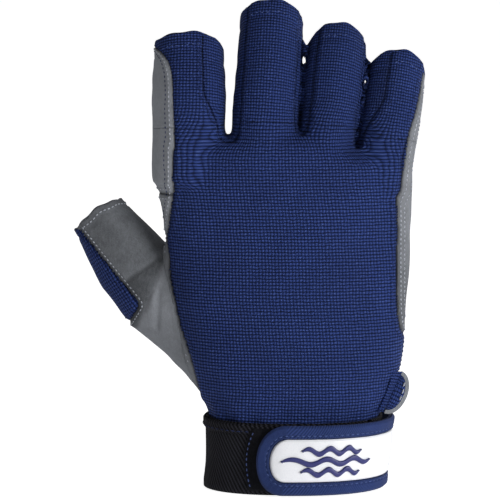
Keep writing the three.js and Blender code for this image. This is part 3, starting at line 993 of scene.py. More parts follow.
@dataclass(frozen=True)
class SuedeFinish:
    """Grey synthetic suede."""

    name: str = "suede_grey"
    # The suede's painted tone sets where it lies between dark and light: painted light and shade
    # for how light falls on each panel.
    dark: Colour = (0.062, 0.066, 0.072, 1)
    light: Colour = (0.272, 0.286, 0.312, 1)
    speck: Colour = (0.36, 0.37, 0.39, 1)
    relief: float = 0.00025

    def make(self) -> bpy.types.Material:
        """Builds the material."""
        cloth = Cloth(self.name)
        bench = cloth.bench
        nap = cloth.effect(Effect.NAP, cloth.local, Scale=1.0)
        age = cloth.effect(Effect.AGE, cloth.local, Amount=0.45)
        grain = bench.ramp(nap.outputs["Shade"], 0.25, 0.85, -0.17, 0.17)
        # The painted tone on the mesh, with the random grain, sets the colour: painted light and
        # shade.
        colour = bench.mix(bench.math("ADD", cloth.attribute("nap"), grain), self.dark, self.light)
        colour = bench.mix(bench.math("MULTIPLY", nap.outputs["Specks"], 0.16), colour, self.speck)
        # Painted shade in the seams' ditches: darker near a sunken seam.
        painted_seam_shade = bench.math("MULTIPLY_ADD", cloth.attribute("seam"), -0.6, 1.0)
        colour = bench.shade(colour, bench.math("MULTIPLY", painted_seam_shade, age.outputs["Shade"]))
        return cloth.close(colour, bench.math("MULTIPLY_ADD", nap.outputs["Height"], 0.1, 0.86),
                           nap.outputs["Height"], self.relief,
                           Specular_IOR_Level=0.1, Sheen_Weight=0.08, Sheen_Roughness=0.5,
                           Sheen_Tint=(0.8, 0.85, 1, 1))


@dataclass(frozen=True)
class WebbingFinish:
    """Ribbed webbing or tape."""

    name: str
    # The first colour is painted shade in the troughs between the ribs.
    deep: Colour
    face: Colour
    pitch: float = 0.0013
    slant: float = 0.8
    relief: float = 0.00035
    sheen: float = 0.01

    def make(self) -> bpy.types.Material:
        """Builds the material."""
        cloth = Cloth(self.name)
        bench = cloth.bench
        twill = cloth.effect(Effect.TWILL, cloth.surface, Pitch=self.pitch, Slant=self.slant)
        age = cloth.effect(Effect.AGE, cloth.local, Amount=0.6)
        # Darker in the troughs between the ribs: painted shade.
        colour = bench.mix(bench.ramp(twill.outputs["Height"], 0.15, 0.9), self.deep, self.face)
        colour = bench.mix(bench.math("MULTIPLY", age.outputs["Lint"], 0.2), colour,
                           (0.25, 0.25, 0.27, 1))
        colour = bench.shade(colour, age.outputs["Shade"])
        roughness = bench.math("MULTIPLY_ADD", twill.outputs["Threads"], -0.1, 0.85)
        return cloth.close(colour, roughness, twill.outputs["Height"], self.relief,
                           Specular_IOR_Level=0.12, Sheen_Weight=self.sheen, Sheen_Roughness=0.5)


@dataclass(frozen=True)
class LoopFinish:
    """The fuzzy loop side of a touch fastener."""

    name: str = "loop_black"
    deep: Colour = (0.0035, 0.0036, 0.005, 1)
    face: Colour = (0.011, 0.0115, 0.016, 1)

    def make(self) -> bpy.types.Material:
        """Builds the material."""
        cloth = Cloth(self.name)
        bench = cloth.bench
        nap = cloth.effect(Effect.NAP, cloth.local, Scale=0.8)
        age = cloth.effect(Effect.AGE, cloth.local, Amount=0.5)
        colour = bench.mix(bench.ramp(nap.outputs["Height"], 0.3, 0.75), self.deep, self.face)
        colour = bench.shade(colour, age.outputs["Shade"])
        return cloth.close(colour, bench.math("MULTIPLY_ADD", nap.outputs["Height"], -0.1, 0.95),
                           nap.outputs["Height"], 0.0005, Specular_IOR_Level=0.1, Sheen_Weight=0.02)


@dataclass(frozen=True)
class RubberFinish:
    """Moulded soft rubber of the badge, with a faint cast grain."""

    name: str
    face: Colour
    shaded: Colour
    roughness: float = 0.42

    def make(self) -> bpy.types.Material:
        """Builds the material."""
        cloth = Cloth(self.name)
        bench = cloth.bench
        grain = bench.noise(cloth.local, 2200, 2, 0.6)
        scuff = bench.noise(bench.stretched(cloth.local, (1, 1, 4), 20), 500, 3, 0.6)
        age = cloth.effect(Effect.AGE, cloth.local, Amount=0.12)
        colour = bench.mix(bench.ramp(grain, 0.45, 0.75), self.face, self.shaded)
        colour = bench.shade(colour, age.outputs["Shade"])
        roughness = bench.math("MULTIPLY_ADD", bench.ramp(scuff, 0.5, 0.7), 0.16, self.roughness)
        return cloth.close(colour, roughness, grain, 0.00002, Specular_IOR_Level=0.45)


@dataclass(frozen=True)
class ThreadFinish:
    """Twisted sewing thread."""

    name: str
    face: Colour
    shaded: Colour

    def make(self) -> bpy.types.Material:
        """Builds the material."""
        cloth = Cloth(self.name)
        bench = cloth.bench
        twist = bench.add("ShaderNodeTexWave",
                          {"Vector": cloth.local, "Scale": 900.0, "Distortion": 2.0},
                          bands_direction="DIAGONAL").outputs["Fac"]
        soil = bench.noise(cloth.local, 160, 2)
        colour = bench.mix(twist, self.shaded, self.face)
        colour = bench.shade(colour, bench.ramp(soil, 0.3, 0.7, 0.75, 1.1))
        return cloth.close(colour, bench.ramp(twist, 0, 1, 0.7, 0.5), twist, 0.00008,
                           Specular_IOR_Level=0.2)


class Finish(Enum):
    """Every finish, by the record's slot that it dresses."""

    KNIT = ("knit_navy", KnitFinish())
    SUEDE = ("suede_grey", SuedeFinish())
    WEBBING = ("webbing_black", WebbingFinish("webbing_black", (0.0022, 0.0023, 0.0035, 1),
                                              (0.028, 0.028, 0.038, 1), 0.0021, 0.9, 0.0007))
    LOOP = ("loop_black", LoopFinish())
    TAPE = ("tape_navy", WebbingFinish("tape_navy", (0.014, 0.026, 0.092, 1),
                                       (0.028, 0.05, 0.168, 1), 0.0009, -0.55, 0.00012, 0.05))
    BADGE = ("badge_white", RubberFinish("badge_white", (0.88, 0.89, 0.92, 1),
                                         (0.82, 0.83, 0.87, 1)))
    WAVES = ("badge_navy", RubberFinish("badge_navy", (0.03, 0.034, 0.16, 1),
                                        (0.02, 0.024, 0.12, 1), 0.36))
    PALE_THREAD = ("thread_pale", ThreadFinish("thread_pale", (0.62, 0.65, 0.72, 1),
                                               (0.3, 0.32, 0.38, 1)))
    BLUE_THREAD = ("thread_pale", ThreadFinish("thread_blue", (0.10, 0.15, 0.38, 1),
                                               (0.03, 0.05, 0.16, 1)))
    DARK_THREAD = ("thread_pale", ThreadFinish("thread_dark", (0.022, 0.04, 0.15, 1),
                                               (0.008, 0.014, 0.05, 1)))


class Wardrobe:
    """Makes each finish once and dresses pieces with it."""

    def __init__(self) -> None:
        """Builds the shared effects."""
        for build in (knit_group, nap_group, twill_group, age_group):
            build()
        self.made: dict[Finish, bpy.types.Material] = {}

    def dress(self, piece: bpy.types.Object, finish: Finish) -> None:
        """Gives a piece its finish."""
        slot, recipe = finish.value
        if finish not in self.made:
            self.made[finish] = recipe.make()
        piece.data.materials.clear()
        piece.data.materials.append(self.made[finish])


# --- Making pieces

BODIES = ("hand", "index_stall", "middle_stall", "ring_stall", "little_stall", "thumb_stall",
          "strap", "tab")
ON_HAND, ON_THUMB, ON_STRAP, ON_TAB = 0, 5, 6, 7
# For each stall: where, along it in millimetres, its cloth would start and end bending out of the
# hand.
BENDS = ((INDEX, 3.2, 17), (MIDDLE, 3.2, 18), (RING, 3.2, 17), (LITTLE, 3.2, 16), (THUMB, -6, 12))
WARDROBE = Wardrobe()


def carry(piece: bpy.types.Object, body: int) -> None:
    """Attaches a finished piece to its body, except a stall's piece, whose transform is only baked.

    Args:
        piece: the piece, with its mesh final.
        body: a number into BODIES.
    """
    if body not in range(1, len(BENDS) + 1):
        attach(piece, BODIES[body])
        return
    stall, start, end = BENDS[body - 1]
    root, way = np.array(stall.root), stall.direction(np.array(0.0))
    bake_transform(piece)


def tailor(piece: bpy.types.Object, finish: Finish, body: int, *nodes: str) -> None:
    """Dresses a piece, attaches it to its body or bakes its transform, and hides the CAD nodes that
    it stands for.
    """
    for polygon in piece.data.polygons:
        polygon.use_smooth = True
    WARDROBE.dress(piece, finish)
    carry(piece, body)
    if nodes:
        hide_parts(*nodes)
    LOG.info("%s: %d faces on %s", piece.name, len(piece.data.polygons), BODIES[body])


def thicken(piece: bpy.types.Object, thickness: float, offset: float = -1.0) -> None:
    """Gives a sheet its thickness, in millimetres. An offset of -1 thickens it inwards."""
    wall = piece.modifiers.new("thickness", "SOLIDIFY")
    wall.thickness = thickness * MM
    wall.offset = offset
    wall.use_even_offset = False
    even = piece.modifiers.new("even_shading", "WEIGHTED_NORMAL")
    even.mode = "FACE_AREA"
    even.weight = 80


def lay_out(piece: bpy.types.Object, places: Array) -> None:
    """Gives a mesh a UV map, in metres, from one place for each vertex in millimetres."""
    mesh = piece.data
    layer = mesh.uv_layers.new(name="UVMap")
    corners = np.empty(len(mesh.loops), np.int32)
    mesh.loops.foreach_get("vertex_index", corners)
    layer.data.foreach_set("uv", (places[corners] * MM).astype(np.float32).ravel())


def keep_numbers(piece: bpy.types.Object, name: str, values: Array) -> None:
    """Keeps one number for each vertex on a mesh, for its finish to read."""
    stored = piece.data.attributes.new(name, "FLOAT", "POINT")
    stored.data.foreach_set("value", values.astype(np.float32))


def grid_piece(name: str, columns: int, rows: int, place: Callable[[Array, Array], Array],
               size: tuple[float, float]) -> bpy.types.Object:
    """A sheet from a grid that is laid over a surface.

    Args:
        name: the piece's name.
        columns: how many cells across.
        rows: how many cells along.
        place: gives millimetre positions for shares across and along.
        size: the sheet's flat width and height in millimetres, for its weave.

    Returns:
        The piece, with its front towards the outside.
    """
    bm = bmesh.new()
    bmesh.ops.create_grid(bm, x_segments=columns, y_segments=rows, size=0.5)
    flat = np.array([v.co[:2] for v in bm.verts]) + 0.5
    for vert, spot in zip(bm.verts, place(flat[:, 0], flat[:, 1])):
        vert.co = Vector(spot * MM)
    piece = object_from(bm, name)
    lay_out(piece, flat * np.array(size))
    return piece


def ring_piece(name: str, rings: Sequence[Array]) -> bpy.types.Object:
    """A closed band from a profile carried round: each ring is the same point of the profile."""
    bm = bmesh.new()
    loops = [ring_edges(bm, ring) for ring in rings]
    for first, second in zip(loops, loops[1:] + loops[:1]):
        bmesh.ops.bridge_loops(bm, edges=first + second)
    bmesh.ops.recalc_face_normals(bm, faces=bm.faces[:])
    return object_from(bm, name)


def bead_piece(name: str, places: Iterable[Matrix], around: int = 6,
               along: int = 5) -> bpy.types.Object:
    """One piece of many small oval beads, which are its stitches."""
    bm = bmesh.new()
    for place in places:
        bmesh.ops.create_uvsphere(bm, u_segments=around, v_segments=along, radius=1, matrix=place)
    bmesh.ops.recalc_face_normals(bm, faces=bm.faces[:])
    return object_from(bm, name)


# --- Stitches

@dataclass
class Trail:
    """A line over a surface: points in millimetres with the surface's normals there."""

    points: Array
    normals: Array

    def every(self, pitch: float) -> tuple[Array, Array, Array]:
        """Points, directions and normals at an even pitch along the trail."""
        steps = np.linalg.norm(np.diff(self.points, axis=0), axis=1)
        run = np.concatenate([[0], np.cumsum(steps)])
        count = int(run[-1] / pitch)
        if count < 2:
            return np.empty((0, 3)), np.empty((0, 3)), np.empty((0, 3))
        at = (np.arange(count) + 0.5) * run[-1] / count

        def read(values: Array, where: Array) -> Array:
            """Reads points or normals at distances along the trail."""
            return np.stack([np.interp(where, run, column) for column in values.T], -1)

        ways = read(self.points, at + 0.35 * pitch) - read(self.points, at - 0.35 * pitch)
        return read(self.points, at), ways, read(self.normals, at)


@dataclass
class Weft:
    """The skin's mesh as arrays, for following lines over it."""

    points: Array
    normals: Array
    edges: Array
    faces: Array
    probe: Probe

    @classmethod
    def of(cls, bm: bmesh.types.BMesh) -> "Weft":
        """Reads a mesh of triangles."""
        bm.verts.index_update()
        bm.edges.index_update()
        points = coordinates(bm)
        return cls(points, np.array([v.normal[:] for v in bm.verts]),
                   np.array([[v.index for v in edge.verts] for edge in bm.edges]),
                   np.array([[edge.index for edge in face.edges] for face in bm.faces]),
                   Probe(points))

    def trails(self, value: Array, wanted: Array) -> list[Trail]:
        """Follows the lines where a value is 0.

        Args:
            value: the value at each vertex.
            wanted: true at the vertices where lines may run.

        Returns:
            The lines, each of three points or more.
        """
        a, b = self.edges.T
        value = np.where(value == 0, 1e-6, value)
        crossed = (value[a] * value[b] < 0) & wanted[a] & wanted[b]
        share = np.where(crossed, value[a] / np.where(crossed, value[a] - value[b], 1), 0)[:, None]
        spots = self.points[a] * (1 - share) + self.points[b] * share
        normals = self.normals[a] * (1 - share) + self.normals[b] * share
        beside: dict[int, list[int]] = {}
        cut_faces = self.faces[crossed[self.faces].sum(1) == 2]
        for face in cut_faces:
            one, two = (int(e) for e in face[crossed[face]])
            beside.setdefault(one, []).append(two)
            beside.setdefault(two, []).append(one)
        found, used = [], set()
        ends = sorted(e for e, near in beside.items() if len(near) == 1)
        for start in ends + sorted(beside):
            if start in used:
                continue
            line, here = [start], start
            used.add(start)
            while True:
                onward = [e for e in beside[here] if e not in used]
                if not onward:
                    break
                here = onward[0]
                used.add(here)
                line.append(here)
            if len(line) > 6:
                found.append(Trail(spots[line], normals[line]))
        return found


@dataclass
class StitchRow:
    """How one row of stitches is sewn, in millimetres."""

    finish: Finish
    pitch: float = 1.75
    length: float = 1.1
    width: float = 0.5
    proud: float = 0.12


def hand_only(spots: Array) -> Array:
    """The body numbers of spots that are all on the hand."""
    return np.full(len(spots), ON_HAND)


class Sewing:
    """Collects stitches and makes one piece of each body's stitches in each thread."""

    def __init__(self, name: str) -> None:
        """Starts with nothing sewn."""
        self.name = name
        self.sewn: dict[tuple[Finish, int], list[Matrix]] = {}

    def add(self, row: StitchRow, trail: Trail, body_of: Callable[[Array], Array]) -> None:
        """Sews along a trail."""
        spots, ways, normals = trail.every(row.pitch)
        if not len(spots):
            return
        bodies = body_of(spots)
        for spot, way, normal, body in zip(spots, ways, normals, bodies):
            up = Vector(normal).normalized()
            ahead = Vector(way).normalized()
            across = up.cross(ahead).normalized()
            up = ahead.cross(across)
            turn = Matrix((ahead, across, up)).transposed().to_4x4()
            size = Matrix.Diagonal((row.length / 2, row.width / 2, row.width * 0.38, 1))
            place = Matrix.Translation((Vector(spot) + up * row.proud) * MM)
            self.sewn.setdefault((row.finish, int(body)), []).append(
                place @ turn @ Matrix.Scale(MM, 4) @ size)

    def finish(self) -> None:
        """Makes the pieces."""
        for (finish, body), places in self.sewn.items():
            name = f"{self.name}_{finish.name.lower()}_{BODIES[body]}"
            tailor(bead_piece(name, places), finish, body)


# --- The skin's panels

def arc_of_turn() -> tuple[Array, Array]:
    """Distances round the hand's section, as a share of its half width, at a row of turns."""
    turns = np.linspace(-180, 180, 721)
    section = Trunk(((0, 0, 0, 45, 18), (1, 0, 0, 45, 18)))
    ring = section.point(turns, np.zeros_like(turns))
    run = np.concatenate([[0], np.cumsum(np.linalg.norm(np.diff(ring, axis=0), axis=1))])
    return turns, (run - run[len(run) // 2]) / 45


def weave_places(probe: Probe) -> Array:
    """Where each point lies on the flat knit, in millimetres."""
    turns, arcs = arc_of_turn()
    width = through(HAND.stations, probe.z)[:, 2]
    over_hand = np.stack([np.interp(probe.hand_turn, turns, arcs) * width, probe.z], -1)
    roots = np.array([stall.root for stall in FINGERS])[probe.finger]
    turn = np.radians(probe.own(probe.turns))
    over_finger = np.stack([roots[:, 0] + 2 + turn * 13.4,
                            roots[:, 2] + 1.16 * probe.own(probe.along)], -1)
    share = ease(probe.split(), -8, 10)[:, None]
    return over_hand * (1 - share) + over_finger * share


def inset_places(probe: Probe) -> Array:
    """Where each point lies on the thumb's inset, whose rows run across the thumb."""
    return np.stack([probe.thumb_along, np.radians(probe.thumb_turn) * 13], -1)


@dataclass
class Skin:
    """The glove's sewn skin: panels, patches, hems and stitches."""

    form: SkinForm = field(default_factory=SkinForm)
    thickness: float = 1.15
    fewest_faces: int = 12
    patch_rise: float = 1.0
    patch_corner: float = 7.0
    rope_patch: tuple[float, float, float, float] = (-38, 34, 95, 119)
    heel_patch: tuple[float, float, float, float] = (-8, 32, 38, 88)

    NODES = {
        ("knit_back", 0): ("back_panel",),
        ("outer_side", 0): ("outer_side_panel",),
        ("index_side", 0): ("index_side_patch",),
        ("index_lower_wrap", 0): ("palm_side_wrap",),
        ("palm", 0): ("palm_panel",),
        ("thumb_suede", 5): ("thumb_suede", "thumb_gusset_outer", "thumb_gusset_web"),
        ("thumb_inset", 5): ("thumb_inset",),
        ("knit_back", 1): ("index_back",),
        ("palm", 1): ("index_wrap",),
        ("index_side", 1): ("index_wrap",),
        ("fourchette", 1): ("index_fourchette",),
        ("knit_back", 2): ("middle_back",),
        ("palm", 2): ("middle_palm",),
        ("fourchette", 2): ("middle_inner_fourchette", "middle_outer_fourchette"),
        ("knit_back", 3): ("ring_back",),
        ("palm", 3): ("ring_palm",),
        ("fourchette", 3): ("ring_inner_fourchette", "ring_outer_fourchette"),
        ("knit_back", 4): ("little_back",),
        ("palm", 4): ("little_palm",),
        ("outer_side", 4): ("little_palm",),
        ("fourchette", 4): ("little_fourchette",),
    }

    def panel(self, bm: bmesh.types.BMesh, kind: Panel, body: int, nodes: tuple[str, ...]) -> None:
        """Finishes one panel that was cut out of the skin."""
        name = kind.value if body == 0 else f"{kind.value}_{BODIES[body]}"
        points = coordinates(bm)
        piece = object_from(bm, name)
        probe = Probe(points)
        knit = kind in (Panel.KNIT_BACK, Panel.FOURCHETTE, Panel.THUMB_INSET)
        lay_out(piece, inset_places(probe) if kind is Panel.THUMB_INSET else weave_places(probe))
        self.mark_seams(piece, probe, kind)
        thicken(piece, self.thickness)
        tailor(piece, Finish.KNIT if knit else Finish.SUEDE, body, *nodes)

    def mark_seams(self, piece: bpy.types.Object, probe: Probe, kind: Panel) -> None:
        """Keeps on the mesh how near each point is to a sunken seam, for the painted shade in its
        ditch, and the suede's painted tone.
        """
        nearest = np.abs(probe.knit())
        if kind in (Panel.THUMB_SUEDE, Panel.THUMB_INSET):
            nearest = np.minimum(nearest, np.abs(probe.inset()))
        else:
            nearest = np.minimum(nearest, np.abs(probe.palm()))
        # Painted shade near the seams, and along the index side's cross seam.
        value = bell(nearest, 0.5)
        if kind in (Panel.INDEX_SIDE, Panel.INDEX_LOWER):
            value = np.maximum(value, bell(probe.z - SEAMS.wrap_split, 0.8))
        keep_numbers(piece, "seam", value)
        # The suede's painted tone: painted light and shade for each panel.
        keep_numbers(piece, "nap", self.painted_shade_of(probe, kind))

    def painted_shade_of(self, probe: Probe, kind: Panel) -> Array:
        """The painted tone of each panel's suede, from 0, dark, to 1, light: painted light and
        shade for how light falls on each panel.
        """
        if kind is not Panel.THUMB_SUEDE:
            # Painted light and shade by panel: the index side lighter, the outer side darker lower
            # down.
            tones = {Panel.OUTER_SIDE: 0.56, Panel.INDEX_SIDE: 0.92, Panel.INDEX_LOWER: 0.92}
            shaded = 0.3 * ease(probe.z, 105, 70) * (kind is Panel.OUTER_SIDE)
            return tones.get(kind, 0.56) - shaded
        # Painted shade and light over the thumb: darker before its fold and under the crease,
        # lighter beyond the fold and on its palm side.
        beyond_fold = ease(probe_line(probe, SEAMS.fold_top, SEAMS.fold_foot), -0.8, 1.6)
        behind = ease(np.abs(probe.thumb_turn), 95, 150)
        below = ease(-probe_line(probe, SEAMS.crease_left, SEAMS.fold_top), -0.5, 2)
        below = below * (1 - beyond_fold)
        return np.maximum(0.28 + 0.42 * beyond_fold - 0.2 * below, 0.52 * behind)

    def panels(self, bm: bmesh.types.BMesh) -> None:
        """Makes every panel."""
        kinds, bodies = sort_faces(face_centres(bm))
        for kind, body in sorted({(int(k), int(b)) for k, b in zip(kinds, bodies)}):
            inside = (kinds == kind) & (bodies == body)
            if inside.sum() >= self.fewest_faces:
                nodes = self.NODES.get((PANELS[kind].value, body), ())
                self.panel(portion(bm, inside), PANELS[kind], body, nodes)

    def patch(self, bm: bmesh.types.BMesh, name: str,
              box: tuple[float, float, float, float]) -> None:
        """A reinforcing patch of suede on the palm."""
        left, right, bottom, top = box
        half = np.array([(right - left) / 2, (top - bottom) / 2])
        middle = np.array([(left + right) / 2, (top + bottom) / 2])

        def edge(probe: Probe) -> Array:
            """Distance from the patch's rounded outline."""
            away = np.abs(np.stack([probe.x, probe.z], -1) - middle) - half + self.patch_corner
            outside = np.linalg.norm(np.maximum(away, 0), axis=1)
            return outside + np.minimum(away.max(1), 0) - self.patch_corner

        centres = Probe(face_centres(bm))
        patch = portion(bm, (edge(centres) < 4) & (centres.y > 3))
        patch.normal_update()
        lift = [vert.normal.copy() for vert in patch.verts]
        for vert, normal in zip(patch.verts, lift):
            vert.co += normal * (self.patch_rise * MM)
        cut_along(patch, edge, everywhere)
        drop_faces(patch, edge(Probe(face_centres(patch))) > 0)
        patch.normal_update()
        probe = Probe(coordinates(patch))
        for vert, near_edge in zip(patch.verts, bell(edge(probe), 0.9)):
            vert.co -= vert.normal * (0.45 * near_edge * MM)
        self.patch_sewing.append((patch.copy(), edge))
        piece = object_from(patch, name)
        lay_out(piece, weave_places(probe))
        # Painted shade where the patch's edge is pressed in.
        keep_numbers(piece, "seam", 0.6 * bell(edge(probe), 0.8))
        # A middle painted tone on the patch's suede.
        keep_numbers(piece, "nap", np.full(len(probe.x), 0.5))
        thicken(piece, self.patch_rise)
        tailor(piece, Finish.SUEDE, ON_HAND, name)

    def hem(self, stall: Stall, body: int, width: float) -> None:
        """The turned-in hem at a stall's mouth."""
        turns = np.linspace(0, 360, 72, endpoint=False)
        profile = [(-0.35, -1.0), (-0.12, -0.35), (-0.2, 0.1), (-0.65, 0.34), (-1.15, 0.18),
                   (-1.6, -0.3), (-1.85, -1.2), (-1.95, -width), (-1.3, -width - 0.2),
                   (-1.2, -width / 2), (-0.95, -1.4)]
        rings = [stall.point(turns, rim(stall, turns) + along, proud) for proud, along in profile]
        piece = ring_piece(f"{stall.name}_hem_lip", rings)
        round_it = np.radians(np.tile(turns, len(profile))) * 12
        lay_out(piece, np.stack([round_it, np.repeat([a for _, a in profile], len(turns))], -1))
        # A darker painted tone, which the thumb's suede hem lip shows.
        keep_numbers(piece, "nap", np.full(len(round_it), 0.3))
        finish = Finish.SUEDE if stall is THUMB else Finish.KNIT
        tailor(piece, finish, body, f"{stall.name}_hem")

    def liner(self, stall: Stall, body: int, side: float, flush: float, node: str) -> None:
        """The wall of a stall where it touches its neighbour, just inside the skin.

        Args:
            stall: the stall.
            body: a number into BODIES.
            side: 1 for the outer wall and -1 for the inner one.
            flush: how far up, as a share, the wall comes level with the skin.
            node: the CAD node it stands for.
        """
        def place(u: Array, v: Array) -> Array:
            """Lays the wall inside the stall."""
            inside = -1.3 + 0.95 * ease(v, flush - 0.14, flush)
            return stall.point(side * (50 + 80 * u), 4 + (stall.length - 8) * v, inside)
        name = f"{stall.name}_side_wall_{'outer' if side > 0 else 'inner'}"
        piece = grid_piece(name, 16, 24, place, (17, stall.length))
        thicken(piece, 0.5)
        keep_numbers(piece, "seam", np.zeros(len(piece.data.vertices)))
        tailor(piece, Finish.KNIT, body, node)

    def sew(self, bm: bmesh.types.BMesh) -> None:
        """Sews the rows that show on the skin."""
        weft = Weft.of(bm)
        probe = weft.probe
        knit, palm, thumb, inset = probe.knit(), probe.palm(), probe.gusset(), probe.inset()
        visible = probe.z > 29
        on_thumb = (thumb < 0.4) & (knit > 0.5)
        ends = np.array([stall.length for stall in FINGERS])[probe.finger]
        own = probe.own(probe.along)
        on_finger = (probe.z > 138) & (own < ends - 1.2)
        below_mouth = (own < ends - 1.2) | (probe.z < 135)
        thumb_below = probe.thumb_along < THUMB.length - 1
        own_turn = probe.own(probe.turns)
        upper = probe.z > probe.web_height() - SEAMS.web_seam_drop - 4
        left_side = (probe.x < -36) & ~on_thumb & visible & below_mouth
        left_side &= ~upper | (probe.finger == 0) & (own_turn < -10)
        right_side = (probe.x > 36) & visible & below_mouth
        right_side &= ~upper | (probe.finger == 3) & (own_turn > 40)
        pale = StitchRow(Finish.PALE_THREAD)
        blue = StitchRow(Finish.BLUE_THREAD, pitch=2.0, length=1.1, width=0.42)
        dark = StitchRow(Finish.DARK_THREAD, pitch=1.75, length=1.1, width=0.4)
        hem_line = 4.7 + np.where(probe.z > 140, mouth(probe), -20)
        rows = [
            (pale, knit - 1.5, right_side & (palm > 1)),
            (pale, knit - 3.0, right_side & (palm > 1)),
            (dark, knit + 1.9, (right_side | left_side | on_finger) & visible),
            (pale, knit - 1.5, left_side & (palm > 1)),
            (dark, knit - 2.7, left_side & (palm > 1)),
            (pale, inset - 1.4, on_thumb & thumb_below & (np.abs(probe.thumb_turn) < 141)),
            (dark, inset + 1.7, on_thumb & thumb_below),
            (pale, -mouth(probe) - 2.2, on_thumb & (inset > 1.2) & (probe.thumb_along > 12)),
            (pale, probe.z - SEAMS.wrap_split + 1.8, left_side & (knit > 2) & (palm > 2)),
            (pale, probe.z - SEAMS.wrap_split - 1.8, left_side & (knit > 2) & (palm > 2)),
            (blue, hem_line, (probe.z > 145) & (knit < -0.8)),
            (pale, hem_line, (probe.z > 145) & (knit > 1.2) & ((palm < 0) | (probe.x > 40))),
            (pale, palm + 1.8, visible & below_mouth & ~on_thumb),
        ]
        sewing = Sewing("stitches")
        for row, value, wanted in rows:
            for trail in weft.trails(value, wanted):
                sewing.add(row, trail, lambda spots: sort_faces(spots)[1])
        for patch, edge in self.patch_sewing:
            patch.verts.ensure_lookup_table()
            over = Weft.of(patch)
            for trail in over.trails(edge(over.probe) + 1.8, everywhere(over.probe)):
                sewing.add(pale, trail, hand_only)
            patch.free()
        sewing.finish()

    def make(self) -> None:
        """Makes the whole skin."""
        self.patch_sewing: list[tuple[bmesh.types.BMesh, Callable[[Probe], Array]]] = []
        bm = self.form.build()
        self.patch(bm, "palm_rope_patch", self.rope_patch)
        self.patch(bm, "palm_heel_patch", self.heel_patch)
        self.panels(bm)
        for number, stall in enumerate(FINGERS):
            self.hem(stall, number + 1, SEAMS.hem)
        self.hem(THUMB, ON_THUMB, 4)
        self.liner(MIDDLE, 2, 1, 0.78, "middle_outer_fourchette")
        self.liner(RING, 3, -1, 2, "ring_inner_fourchette")
        self.liner(RING, 3, 1, 0.74, "ring_outer_fourchette")
        self.liner(LITTLE, 4, -1, 2, "little_fourchette")
        self.sew(bm)
        bm.free()


# --- The cuff and its strap

WRIST_DEGREE = 0.66  # Millimetres round the cuff for each degree of turn.


